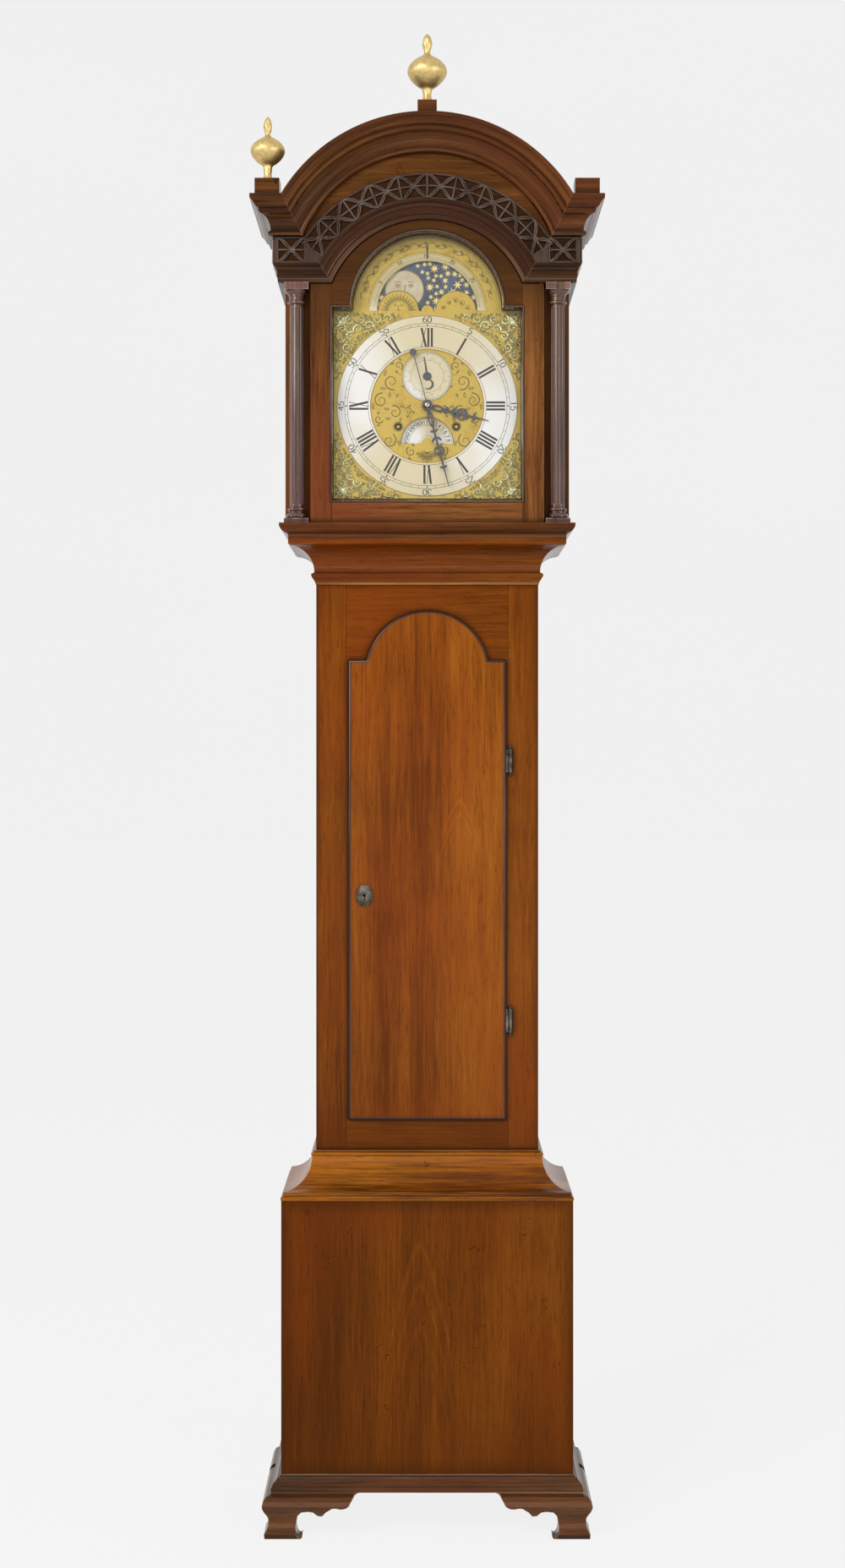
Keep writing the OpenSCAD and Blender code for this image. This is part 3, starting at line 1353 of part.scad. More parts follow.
module movement_plates() {
    holes = [third_at, second_at, pin_at, gather_at, warn_at, fly_at];
    color([0.74, 0.6, 0.3]) {
        for (y = [front_plate_y, back_plate_y]) difference() {
            slab(y, y + plate_t) translate([-plate_hw, seat_z]) square([2 * plate_hw, plate_top - seat_z]);
            for (h = holes) bar(h + [0, dial_z], y - 1, y + plate_t + 1, arbor_r * 0.7 + pivot_gap);
            for (h = [going_at, strike_at]) bar(h + [0, dial_z], y - 1, y + plate_t + 1, 2.5 + pivot_gap);
            bar([0, dial_z], y - 1, y + plate_t + 1, seconds_r + pivot_gap);
            bar(anchor_at + [0, dial_z], y - 1, y + plate_t + 1, 1.2 + pivot_gap);
            bar(hammer_at + [0, dial_z], y - 1, y + plate_t + 1, 1.2 + pivot_gap);
        }
        for (s = [-1, 1], z = [seat_z + 10, plate_top - 10])
            bar([s * (plate_hw - 8), z], front_plate_y + plate_t, back_plate_y, 5);
        bar(idler_at + [0, dial_z], hour_y - 1, front_plate_y, 0.8);
    }
    pendulum_cock();
}

// Back cock: two arms and a slotted bridge that the pendulum spring hangs in
module pendulum_cock() {
    color([0.74, 0.6, 0.3]) {
        pair() box([13, plate_back, pivot_z - 10], [20, pendulum_y - 6, pivot_z + 14]);
        difference() {
            box([-20, pendulum_y - 6, pivot_z + 2], [20, pendulum_y + 6, pivot_z + 14]);
            box([-1.6, pendulum_y - 5, pivot_z + 1], [1.6, pendulum_y + 7, pivot_z + 15]);
        }
    }
}

// Pallets that span the escape wheel, with the crutch behind the back plate
module anchor() {
    arm = [16.8, -15.6];
    fork_z = pivot_z - 125;
    color([0.58, 0.58, 0.6]) {
        translate([0, 0, pivot_z]) {
            slab(escape_y - 0.5, escape_y + 2) pair_flat()
                polygon([[0, 4], [8, 3], [17, -3], [20, -12], [arm[0] + 1.4, arm[1]],
                         [arm[0], arm[1] + 0.6], [14.5, -9], [7, -4], [0, -4]]);
            bar([0, 0], front_plate_y, pendulum_y - 14, 1.2);
            bar([0, 0], front_plate_y + plate_t + 0.2, back_plate_y - 0.2, 1.8);
        }
        box([-2, pendulum_y - 17, fork_z], [2, pendulum_y - 14, pivot_z + 3]);
        difference() {
            box([-6, pendulum_y - 17, fork_z - 4], [6, pendulum_y + 7, fork_z]);
            translate([0, pendulum_y, fork_z - 5]) cylinder(h = 6, r = 2.5 + gap);
            box([-2.5 - gap, pendulum_y, fork_z - 5], [2.5 + gap, pendulum_y + 8, fork_z + 1]);
        }
    }
}
module pair_flat() {
    children();
    mirror([1, 0]) children();
}

module pendulum_rod() {
    rod_top = pivot_z - 14;
    bob_z = pivot_z - pendulum_l;
    color([0.62, 0.62, 0.62]) {
        translate([0, pendulum_y, bob_z - bob_r - 22]) cylinder(h = rod_top - bob_z + bob_r + 22, r = 2.5);
        box([-0.25, pendulum_y - 4, rod_top - 2], [0.25, pendulum_y + 4, pivot_z + 20]);
        box([-4, pendulum_y - 5.5, pivot_z + 14.4], [4, pendulum_y + 5.5, pivot_z + 22]);
    }
    color([0.74, 0.6, 0.3]) translate([0, pendulum_y, bob_z - bob_r - 14]) cylinder(h = 10, r = 8);
}

// Lens-shaped bob with a turned rim
module pendulum_bob() {
    r = (bob_r * bob_r + pow(bob_t / 2, 2)) / bob_t;
    edge = asin(bob_r / r) - 2;
    face = bow([0, bob_t / 2 - r], r, r, 90, 90 - edge, 8);
    color([0.78, 0.63, 0.3]) difference() {
        translate([0, pendulum_y, pivot_z - pendulum_l]) rotate([90, 0, 0]) rotate_extrude($fn = 96)
            polygon(concat(face, [[bob_r, 2], [bob_r, -2]],
                           [for (i = [8:-1:0]) [face[i][0], -face[i][1]]]));
        translate([0, pendulum_y, pivot_z - pendulum_l - bob_r - 5])
            cylinder(h = 2 * bob_r + 10, r = 2.5 + pivot_gap);
    }
}

module bell() {
    bell_r = 50;
    bell_y = 15;
    bell_z = plate_top + 12;
    color([0.7, 0.66, 0.5]) translate([0, bell_y, bell_z]) rotate_extrude() difference() {
        polygon(concat([[0, 0]], bow([0, 0], bell_r, bell_r * 0.9, 0, 90, 12)));
        polygon(concat([[0, -1]], [[bell_r - 2.2, -1]], bow([0, 0], bell_r - 2.5, bell_r * 0.9 - 3, 0, 90, 12)));
    }
    color([0.74, 0.6, 0.3]) {
        translate([0, bell_y, bell_z + bell_r * 0.9 - 3.5]) cylinder(h = 9, r = 3);
        translate([0, bell_y, plate_top]) cylinder(h = bell_z + bell_r * 0.9 - 3 - plate_top, r = 2.5);
        box([-8, bell_y - 4, plate_top], [8, plate_back, plate_top + 3]);
        box([-8, plate_back, plate_top - 15], [8, plate_back + 2.5, plate_top + 3]);
    }
}

// The hammer's arm is cranked round the pillar, and its head stands beside the bell's rim
module hammer() {
    head_z = plate_top + 20;
    head_x = -58;
    hammer_y = 15;
    color([0.58, 0.58, 0.6]) {
        bar(hammer_at + [0, dial_z], front_plate_y, plate_back, 1.2);
        bar(hammer_at + [0, dial_z], front_plate_y + plate_t + 0.2, back_plate_y - 0.2, 2);
        slab(hammer_y - 1, hammer_y + 1)
            polygon([[hammer_at[0] - 1.6, pivot_z], [hammer_at[0] + 1.6, pivot_z],
                     [hammer_at[0] + 11.6, pivot_z + 20.5], [head_x - 1, head_z],
                     [head_x - 4, head_z], [hammer_at[0] + 8.2, pivot_z + 21.5]]);
        translate([head_x - 7, hammer_y, head_z]) rotate([0, 90, 0]) cylinder(h = 13, r = 4);
    }
}

// Driving weight with its hook, stirrup and pulley, and the gut that lies in the pulley's groove
module driving_weight(x) {
    top = weight_low + weight_h;
    groove = fall_r - line_r;
    translate([x, fall_y, 0]) {
        color([0.76, 0.62, 0.3]) {
            translate([0, 0, weight_low]) rotate_extrude() polygon([[0, 0], [weight_r - 2, 0],
                [weight_r, 2], [weight_r, weight_h - 2], [weight_r - 2, weight_h], [0, weight_h]]);
            translate([0, 0, top - 1]) cylinder(h = 6, r = 3);
            box([-2.5, -pulley_t / 2 - 2.7, top + 4], [2.5, pulley_t / 2 + 2.7, top + 7]);
        }
        color([0.7, 0.57, 0.27]) translate([0, 0, pulley_z]) rotate([0, 0, 90]) {
            pulley(groove);
            for (s = [-1, 1]) translate([s * (pulley_t / 2 + 1.5) - 1.2, -2.5, top + 4 - pulley_z])
                cube([2.4, 5, pulley_z - top]);
            rotate([0, 90, 0]) translate([0, 0, -pulley_t / 2 - 4]) cylinder(h = pulley_t + 8, r = 2);
        }
        color([0.8, 0.72, 0.5]) translate([0, 0, pulley_z]) rotate([90, 0, 0])
            rotate_extrude(angle = 180, start = 180) translate([fall_r, 0]) circle(line_r, $fn = 16);
    }
}
// Grooved wheel about the X axis
module pulley(groove) {
    rotate([0, 90, 0]) difference() {
        rotate_extrude() polygon([[0, -pulley_t / 2], [groove + 3, -pulley_t / 2],
            [groove + 3, -pulley_t / 2 + 1.2], [groove, -1.2], [groove, 1.2],
            [groove + 3, pulley_t / 2 - 1.2], [groove + 3, pulley_t / 2], [0, pulley_t / 2]]);
        for (a = [30:60:330]) rotate(a) translate([groove * 0.6, 0, -pulley_t])
            cylinder(h = 2 * pulley_t, r = 4, $fn = 24);
    }
}
module going_weight() {
    driving_weight(barrel_x);
}
module strike_weight() {
    driving_weight(-barrel_x);
}

// The two straight falls of a gut line, from the seatboard to the pulley
module falls(x) {
    color([0.8, 0.72, 0.5]) for (s = [-1, 1]) translate([x + s * fall_r, fall_y, pulley_z])
        cylinder(h = seat_z - seat_t - pulley_z, r = line_r, $fn = 16);
}
module going_line() {
    falls(barrel_x);
}
module strike_line() {
    falls(-barrel_x);
}

backboard();
base_panels();
plinth_moulding();
bracket_feet();
waist_moulding();
trunk_sides();
trunk_frame();
throat_moulding();
seatboard();
fixed_hinge_leaves();
dial_plate();
silvered_rings();
spandrels();
movement_plates();
bell();
hood_carcase();
hood_base_moulding();
dial_mask();
architrave();
frieze_boards();
fretwork();
cornice();
hood_top();
finials();
hood_columns();
hood_door_frame();
hood_door_glass();
hood_door_pivots();
trunk_door();
door_hinge_leaves();
door_lock();
escutcheon();
lock_bolt();
escape_wheel();
seconds_hand();
third_wheel();
intermediate_wheel();
going_great_wheel();
going_barrel();
going_weight();
going_line();
minute_hand();
hour_hand();
minute_wheel();
motion_driver();
date_disc();
moon_disc();
strike_great_wheel();
strike_barrel();
pin_wheel();
gathering_wheel();
warning_wheel();
fly();
strike_weight();
strike_line();
hammer();
anchor();
pendulum_rod();
pendulum_bob();
strike_silent_hand();
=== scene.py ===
import math

import bmesh
import bpy
import numpy as np
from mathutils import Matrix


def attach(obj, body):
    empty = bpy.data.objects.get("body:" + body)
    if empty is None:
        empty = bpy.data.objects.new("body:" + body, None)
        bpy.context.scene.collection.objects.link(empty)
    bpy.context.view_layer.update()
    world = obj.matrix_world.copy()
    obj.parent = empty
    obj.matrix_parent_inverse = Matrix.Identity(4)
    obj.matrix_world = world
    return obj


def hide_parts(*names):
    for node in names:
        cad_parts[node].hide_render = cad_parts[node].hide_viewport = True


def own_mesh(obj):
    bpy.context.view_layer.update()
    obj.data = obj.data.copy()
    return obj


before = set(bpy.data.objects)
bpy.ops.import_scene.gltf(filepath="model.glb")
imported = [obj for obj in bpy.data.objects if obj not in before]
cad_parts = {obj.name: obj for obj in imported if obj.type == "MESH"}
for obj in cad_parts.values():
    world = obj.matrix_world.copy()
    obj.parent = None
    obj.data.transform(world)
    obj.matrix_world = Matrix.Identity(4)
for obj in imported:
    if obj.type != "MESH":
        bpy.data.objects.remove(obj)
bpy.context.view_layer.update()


# The room
# A seamless pale floor and backdrop, a soft key light from the upper left, a weaker fill from the
# right, two windows, and the camera at eye level 3.5 m in front, as the photograph was taken.

def node_in(tree, kind, plugs=(), **settings):
    """One node. plugs maps a socket's name or number to a value, a flow or another node's
    output, and settings are the node's own options."""
    made = tree.nodes.new(kind)
    for option, value in settings.items():
        setattr(made, option, value)
    for socket, value in dict(plugs).items():
        value = getattr(value, "socket", value)
        if isinstance(value, bpy.types.NodeSocket):
            tree.links.new(value, made.inputs[socket])
        else:
            made.inputs[socket].default_value = value
    return made


def reckon(operation, *values):
    """The flow out of one Math node on up to three numbers and flows, at least one a flow."""
    tree = next(value.tree for value in values if isinstance(value, Flow))
    return Flow(tree, node_in(tree, "ShaderNodeMath", enumerate(values), operation=operation).outputs[0])


class Flow:
    """A value that runs between the nodes of a tree, so that a sum can be written as a sum."""

    def __init__(self, tree, socket):
        self.tree = tree
        self.socket = socket

    def __add__(self, other):
        return reckon("ADD", self, other)

    def __sub__(self, other):
        return reckon("SUBTRACT", self, other)

    def __rsub__(self, other):
        return reckon("SUBTRACT", other, self)

    def __mul__(self, other):
        return reckon("MULTIPLY", self, other)

    def __truediv__(self, other):
        return reckon("DIVIDE", self, other)

    def __pow__(self, other):
        return reckon("POWER", self, other)

    def __lt__(self, other):
        return reckon("LESS_THAN", self, other)

    def __gt__(self, other):
        return reckon("GREATER_THAN", self, other)

    def __abs__(self):
        return reckon("ABSOLUTE", self)

    def span(self, low, high, first=0.0, last=1.0):
        """A flow that goes from first to last while this one goes from low to high."""
        return self.node("ShaderNodeMapRange", {0: self, 1: low, 2: high, 3: first, 4: last})

    def node(self, kind, plugs, output=0, **settings):
        """One output of a new node in this flow's tree."""
        return Flow(self.tree, node_in(self.tree, kind, plugs, **settings).outputs[output])

    def choose(self, first, second):
        """The first flow where this one is 0, and the second where it is 1."""
        return self.node("ShaderNodeMix", {0: self, 2: first, 3: second}, data_type="FLOAT")


class Finish:
    """A material in the making, with the place of each point on its object."""

    def __init__(self, name):
        self.material = bpy.data.materials.new(name)
        self.material.use_nodes = True
        self.tree = self.material.node_tree
        self.tree.nodes.clear()
        self.place = Flow(self.tree, node_in(self.tree, "ShaderNodeTexCoord").outputs["Object"])

    def finished(self, surface):
        """The material, with its surface joined to the output."""
        node_in(self.tree, "ShaderNodeOutputMaterial", {"Surface": surface})
        return self.material


def seen_straight(tree):
    """1 for rays seen by the camera, mirrored or through glass, and 0 for scattered light."""
    path = node_in(tree, "ShaderNodeLightPath")
    seen = Flow(tree, path.outputs["Is Camera Ray"])
    for kind in ("Is Glossy Ray", "Is Transmission Ray"):
        seen = reckon("MAXIMUM", seen, path.outputs[kind])
    return seen


def paper_sheet(name, corners, shade, shown):
    """A sheet of pale paper from its four corners. The camera and reflections see mostly its own
    shade. The share shown of what they see is lit, so that the clock's soft shadow stays on it."""
    paper = Finish(name + "_paper")
    speckle = paper.place.node("ShaderNodeTexNoise", {"Scale": 30.0, "Detail": 2.0})
    tone = speckle.span(0.0, 1.0, shade - 0.004, shade + 0.004)
    glow = tone.node("ShaderNodeEmission", {"Color": tone})
    lit = tone.node("ShaderNodeBsdfDiffuse", {"Color": (0.8, 0.8, 0.8, 1)})
    share = seen_straight(paper.tree) * (1.0 - shown)
    mesh = bpy.data.meshes.new(name)
    mesh.from_pydata(corners, [], [(0, 1, 2, 3)])
    mesh.materials.append(paper.finished(share.node("ShaderNodeMixShader", {0: share, 1: lit, 2: glow})))
    sheet = bpy.data.objects.new(name, mesh)
    bpy.context.collection.objects.link(sheet)


paper_sheet("floor", [(-30, -30, 0), (30, -30, 0), (30, 30, 0), (-30, 30, 0)], 0.962, 0.12)
paper_sheet("backdrop", [(-60, 29, -1), (60, 29, -1), (60, 29, 60), (-60, 29, 60)], 0.872, 0.0)
for name, place, aim_height, size, watts, tint in (
        ("key_light", (-2.1, -3.1, 3.3), 1.35, 1.8, 80.0, (1.0, 0.965, 0.91)),
        ("fill_light", (2.6, -3.4, 1.5), 1.1, 2.4, 28.0, (0.93, 0.96, 1.0)),
        ("low_light", (0.0, -3.9, 0.5), 0.5, 1.8, 18.0, (1.0, 0.96, 0.9)),
        ("left_window", (-3.2, -1.7, 2.2), 1.6, 0.6, 13.0, (0.78, 0.87, 1.0)),
        ("right_window", (3.1, -2.0, 1.9), 1.6, 0.6, 11.0, (0.95, 0.97, 1.0))):
    lamp = bpy.data.lights.new(name, "AREA")
    lamp.size = size
    lamp.energy = watts
    lamp.color = tint
    holder = bpy.data.objects.new(name, lamp)
    holder.location = place
    aim = np.subtract((0.0, 0.0, aim_height), place)
    tilt = math.atan2(math.hypot(aim[0], aim[1]), -aim[2])
    holder.rotation_euler = (tilt, 0.0, math.atan2(aim[1], aim[0]) - math.pi / 2)
    bpy.context.collection.objects.link(holder)

world = bpy.data.worlds.new("studio")
world.use_nodes = True
world.node_tree.nodes.clear()
room_level = seen_straight(world.node_tree).span(0.0, 1.0, 0.34, 0.872)
dome = node_in(world.node_tree, "ShaderNodeBackground", {"Color": (1, 1, 1, 1), "Strength": room_level})
node_in(world.node_tree, "ShaderNodeOutputWorld", {"Surface": dome.outputs[0]})
bpy.context.scene.world = world

camera_data = bpy.data.cameras.new("camera")
camera_data.lens = 49.16
camera_data.sensor_width = 36.0
camera_data.sensor_height = 36.0
camera_data.sensor_fit = "VERTICAL"
camera_data.shift_x = -0.003
camera_data.shift_y = -0.0148
camera = bpy.data.objects.new("camera", camera_data)
camera.location = (0.0, -3.493, 1.227)
camera.rotation_euler = (math.pi / 2, 0.0, 0.0)
bpy.context.collection.objects.link(camera)
bpy.context.scene.camera = camera
bpy.context.scene.view_settings.view_transform = "Standard"


# The case's show wood
# Cuban mahogany, sawn, planed, polished with oil and wax and darkened by age. Plain boards carry
# their grain upright, and mouldings carry it along their length.

def opaque(colour):
    """A colour of three numbers with its fourth, or a flow as it is."""
    return (*colour, 1.0) if isinstance(colour, tuple) else colour


def dimmed(colour, share):
    """A share of a colour's light."""
    return tuple(share * part for part in colour)


def mixed(share, first, second):
    """Two colours or flows of colour mixed by a share."""
    plugs = {0: share, 6: opaque(first), 7: opaque(second)}
    return share.node("ShaderNodeMix", plugs, 2, data_type="RGBA")


def tones(value, *stops):
    """A colour ramp over a value. Each stop is (place, (red, green, blue))."""
    made = node_in(value.tree, "ShaderNodeValToRGB", {0: value})
    while len(made.color_ramp.elements) < len(stops):
        made.color_ramp.elements.new(0.5)
    for element, (place, colour) in zip(made.color_ramp.elements, stops):
        element.position = place
        element.color = opaque(colour)
    return Flow(value.tree, made.outputs[0])


def cloud(vector, scale, detail=3.0, roughness=0.55, warp=0.0):
    """Fractal noise over a vector, from 0 to 1. A scale of (across, along) draws it out."""
    if isinstance(scale, tuple):
        vector = vector.node("ShaderNodeMapping", {0: vector, 3: (scale[0], scale[0], scale[1])})
        scale = 1.0
    return vector.node("ShaderNodeTexNoise", {"Vector": vector, "Scale": scale, "Detail": detail,
                                              "Roughness": roughness, "Distortion": warp})


def axes(vector):
    """The three parts of a vector, as flows."""
    split = node_in(vector.tree, "ShaderNodeSeparateXYZ", {0: vector})
    return [Flow(vector.tree, part) for part in split.outputs]


def joined(*parts):
    """A vector from its parts."""
    return parts[0].node("ShaderNodeCombineXYZ", enumerate(parts))


def far(first, second):
    """The length of the long side of a right-angled triangle."""
    return reckon("SQRT", first * first + second * second)


def along_grain(place, grain, arch=None):
    """The place of a point in its board as (across, depth, along) in metres. Grain runs upright,
    along X with the side pieces along Y, or round an arch given as
    (centre height, inner radius, foot height, half-width at the foot, half-width at the top,
    top height), and along X beyond the arch's mitres."""
    if grain == "upright":
        return place
    x, y, z = axes(place)
    facing = axes(place.node("ShaderNodeNewGeometry", {}, "True Normal"))[0]
    side = abs(facing) > 0.75
    along = side.choose(x, y)
    depth = side.choose(y, x)
    across = z
    if arch:
        middle, inner, foot, x_foot, x_top, top = arch
        rise = z - middle
        mitre = (z - foot) * ((x_top - x_foot) / (top - foot)) + x_foot
        inside = abs(x) < mitre
        across = inside.choose(z, far(x, rise))
        along = inside.choose(along, reckon("ARCTAN2", x, rise) * inner)
    return joined(across, depth, along)


def hemmed(place, reach, low, high, inside=False):
    """A share from 0 to 1 that grows where other surfaces hem this one in within reach, in the
    quirks of mouldings, where the callers paint shade. Looking inside, it grows at outward edges,
    where little lies behind the surface, and there the callers paint wear and highlight."""
    room = place.node("ShaderNodeAmbientOcclusion", {"Distance": reach}, "AO", samples=8, inside=inside)
    return room.span(low, high, 1.0, 0.0)


def skinned(finish, colour, rough, strength, distance, height, plugs):
    """The finished material from its colour and roughness, a bump's strength, distance and
    height, and any other plugs of the surface."""
    bump = height.node("ShaderNodeBump", {"Strength": strength, "Distance": distance, "Height": height})
    base = {"Base Color": opaque(colour), "Roughness": rough, "Normal": bump}
    return finish.finished(height.node("ShaderNodeBsdfPrincipled", {**base, **plugs}))


def mahogany(name, deep, body, bright, grain="upright", arch=None, figure=None, shade=None, red=None,
             gloss=0.3, coat=0.04, ribbon=1.0, glint=(1.0, 0.5, 0.22), ground=None, rails=None,
             worn=0.35, height_shade=None, quirk_shade=0.0, edge=None):
    """Polished mahogany. Three tones are chosen by slow clouds, streaks and fine fibres drawn out
    along the grain, the streaks as strong as ribbon says. figure adds pale nested arches: x of the
    middle, z of the first peak, gap from peak to peak, and a spread at which an arch has dropped
    so far. shade darkens round a box (x half-width, z low, z high, reach), partly as wax and partly
    as painted shade at the box's edges, red reddens towards a point (x, z, reach), glint tints the
    polish, and ground darkens what lies behind the fret, as (middle height, radius, height), partly
    as darker polish and partly as painted shade. rails turns the grain level beyond an opening
    (half-width, low, high) with a joint at each end, worn is the strength of hairline scratches,
    dusk is painted shade that deepens from one height to another, quirk is the strength of painted
    shade in hollows, and edge is the colour of edges, partly rubbed by wear and partly painted
    highlight. Open pores are short dark strokes."""
    wood = Finish(name)
    board = along_grain(wood.place, grain, arch)
    x, y, z = axes(wood.place)
    if rails:
        beyond = reckon("MAXIMUM", z < rails[1], z > rails[2])
        past = abs(x) - rails[0]
        level = {0: beyond * (past < 0.0), 4: board, 5: joined(z, y, x)}
        board = board.node("ShaderNodeMix", level, 1, data_type="VECTOR")
    slow = cloud(board, (7.0, 1.1), 3.0, 0.5, 0.6)
    streak = cloud(board, (75.0, 3.0), 5.0, 0.65, 0.3)
    fibre = cloud(board, (300.0, 12.0), 3.0, 0.7)
    stripe = cloud(board, (20.0, 0.45), 2.0, 0.5)
    value = slow * 0.34 + fibre * 0.22 + 0.19 * (1.0 - ribbon)
    value = value + streak * (0.22 * ribbon) + stripe * (0.16 * ribbon)
    if figure:
        x0, peak, gap, spread, drop = figure
        off = abs(x - (streak * (0.3 * spread) + (x0 - 0.15 * spread))) / spread
        ring = (peak - z) / gap - off ** 1.5 * (drop / gap)
        crest = (reckon("COSINE", ring * math.tau) * 0.5 + 0.5) ** 5.0
        kept = off.span(1.0, 2.6, 0.045, 0.0) * ring.span(-0.5, -0.2) * ring.span(1.2, 2.6, 1.0, 0.0)
        value = value + crest * kept
    colour = tones(value, (0.385, deep), (0.5, body), (0.645, bright))
    blush = cloud(board, 3.7, 2.0, 0.5).span(0.45, 0.65, 0.0, 0.5)
    colour = mixed(blush, colour, (body[0], 0.72 * body[1], 1.1 * body[2]))
    if red:
        near = far(x - red[0], (z - red[1]) * 0.45).span(0.0, red[2], 0.6, 0.0)
        colour = mixed(near, colour, (0.17, 0.035, 0.012))
    pored = cloud(board, (520.0, 42.0), 2.0, 0.5).span(0.58, 0.68, 0.0, 0.34)
    colour = mixed(pored, colour, dimmed(deep, 0.35))
    grime = cloud(board, 5.0, 4.0, 0.6)
    colour = mixed(grime.span(0.5, 0.75, 0.0, 0.3), colour, dimmed(deep, 0.7))
    # Darker round the box: partly wax and partly painted shade at the edges of the board and round the
    # door.
    if shade:
        half, low, high, reach = shade
        inset = reckon("MINIMUM", half - abs(x), reckon("MINIMUM", z - low, high - z))
        wax = (inset + grime * (0.5 * reach)).span(0.0, 1.4 * reach, 0.75, 0.0)
        colour = mixed(wax, colour, dimmed(deep, 0.45))
    if rails:
        colour = mixed((abs(past) < 0.0006) * beyond * 0.6, colour, dimmed(deep, 0.4))
    hair = cloud(board, 11.0, 2.0, 0.5, 2.5)
    nick = (abs(hair - 0.5) < 0.0028) * (cloud(board, 37.0, 1.0, 0.5) > 0.6)
    colour = mixed(nick * worn, colour, dimmed(deep, 0.4))
    # Darker behind the fret: partly darker polish and partly painted shade.
    if ground:
        within = reckon("MAXIMUM", far(x, z - ground[0]) < ground[1], z < ground[2])
        colour = mixed(within * 0.78, colour, dimmed(deep, 0.5))
    # Painted shade, deepening from one height to the other.
    if height_shade:
        colour = mixed(z.span(*height_shade, 0.0, 0.85), colour, deep)
    # Painted shade in hollows, found by occlusion.
    if quirk_shade:
        colour = mixed(hemmed(wood.place, 0.012, 0.55, 0.985) * quirk_shade, colour, dimmed(deep, 0.25))
    # Lighter edges: partly polish rubbed by wear and partly painted highlight, broken by streaks.
    if edge:
        rub_and_glint = hemmed(wood.place, 0.0022, 0.35, 0.85, inside=True) * streak.span(0.42, 0.6, 0.12, 0.9)
        colour = mixed(rub_and_glint, colour, edge)
    return skinned(wood, colour, grime.span(0.0, 1.0, gloss - 0.06, gloss + 0.12), 0.28, 0.0004,
                   fibre * 0.35 - pored * 1.3,
                   {"Specular IOR Level": 0.14, "Specular Tint": opaque(glint), "Coat Weight": coat,
                    "Coat Roughness": 0.5 * gloss})


def dress(finish, *names):
    """Gives CAD nodes the finish in place of their own materials."""
    for name in names:
        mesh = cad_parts[name].data
        mesh.materials.clear()
        mesh.materials.append(finish)


# The base is darker at its edges, partly wax and partly painted shade, and painted shade deepens towards
# its foot.
base_wood = mahogany("base_mahogany", (0.09, 0.022, 0.002), (0.185, 0.047, 0.003), (0.3, 0.1, 0.009),
                     worn=0.8, ribbon=0.7, figure=(-0.012, 0.457, 0.065, 0.034, 0.1),
                     shade=(0.232, 0.095, 0.528, 0.02), height_shade=(0.27, -0.08))
dress(base_wood, "base_panels")


# The waist, throat and foot mouldings
# Solid mahogany lengths, planed to their profiles, mitred at the front corners and glued on. The
# feet are sawn from thick stuff and carved to an ogee.

# These mouldings carry painted shade in their quirks, and their edges are lighter, partly from wear and
# partly as painted highlight.
waist_wood = mahogany("waist_mahogany", (0.07, 0.02, 0.004), (0.42, 0.13, 0.005), (0.6, 0.21, 0.014),
                      "level", gloss=0.22, coat=0.16, worn=0.6, ribbon=1.5, quirk_shade=0.85,
                      edge=(0.5, 0.27, 0.09))
plinth_wood = mahogany("plinth_mahogany", (0.03, 0.01, 0.004), (0.12, 0.04, 0.01), (0.22, 0.085, 0.025),
                       "level", gloss=0.24, coat=0.3, quirk_shade=0.8, edge=(0.5, 0.33, 0.18))
throat_wood = mahogany("throat_mahogany", (0.035, 0.01, 0.004), (0.19, 0.046, 0.003),
                       (0.33, 0.105, 0.01), "level", gloss=0.22, coat=0.14, ribbon=1.5, quirk_shade=0.85,
                       edge=(0.4, 0.18, 0.05))
dress(waist_wood, "waist_moulding")
dress(plinth_wood, "plinth_moulding", "bracket_feet")
dress(throat_wood, "throat_moulding")


# The trunk
# Side boards and a front frame of two stiles and a shaped head rail, pegged together. They are a
# little redder than the base, with dark wax and painted shade in the corner round the door, painted
# shade at the frame's outer edges and painted shade deepening towards the foot.

# Painted shade round the door, at the outer edges and towards the foot, with some wax.
stile_wood = mahogany("stile_mahogany", (0.08, 0.018, 0.002), (0.225, 0.055, 0.003), (0.35, 0.115, 0.01),
                      shade=(0.179, 0.599, 1.511, 0.007), rails=(0.1305, 0.655, 1.389), quirk_shade=1.0,
                      height_shade=(0.7, 0.52))
dress(stile_wood, "trunk_frame", "trunk_sides")


# The trunk door
# One wide board of straight-grained mahogany with a moulded lip that laps over the frame. Wax and
# painted shade darken it at its edges inside the lip and in its hollows, and painted shade deepens
# towards its foot.

door_wood = mahogany("door_mahogany", (0.115, 0.024, 0.002), (0.3, 0.08, 0.006), (0.47, 0.16, 0.016),
                     figure=(0.052, 1.163, 0.022, 0.018, 0.03), shade=(0.1265, 0.65, 1.47, 0.007),
                     quirk_shade=0.5, height_shade=(1.15, -0.8))
dress(door_wood, "trunk_door")


# The backboard and the seatboard
# Wide oak boards left from the saw, gone grey-brown, nailed across the back. The pine seatboard
# carries the movement.

def plain_board(name, deep, body, bright, grain="upright"):
    """Unpolished wood: drawn-out fibres, soft and hard stripes, and stains."""
    wood = Finish(name)
    board = along_grain(wood.place, grain)
    value = cloud(board, (60.0, 2.0), 4.0) * 0.6 + cloud(board, (500.0, 14.0), 3.0) * 0.4
    colour = tones(value, (0.36, deep), (0.5, body), (0.66, bright))
    stain = cloud(board, 4.0, 4.0).span(0.45, 0.7, 0.0, 0.5)
    colour = mixed(stain, colour, dimmed(deep, 0.5))
    return skinned(wood, colour, 0.78, 0.5, 0.0006, value, {"Specular IOR Level": 0.25})


dress(plain_board("backboard_oak", (0.05, 0.03, 0.016), (0.13, 0.082, 0.045), (0.22, 0.15, 0.09)),
      "backboard")
dress(plain_board("seatboard_pine", (0.2, 0.11, 0.045), (0.34, 0.21, 0.1), (0.45, 0.3, 0.16), "level"),
      "seatboard")


# The hood
# A separate case of darker, redder mahogany that slides on from the front: side panels and front
# board, base rails, posts and the mask behind the door.

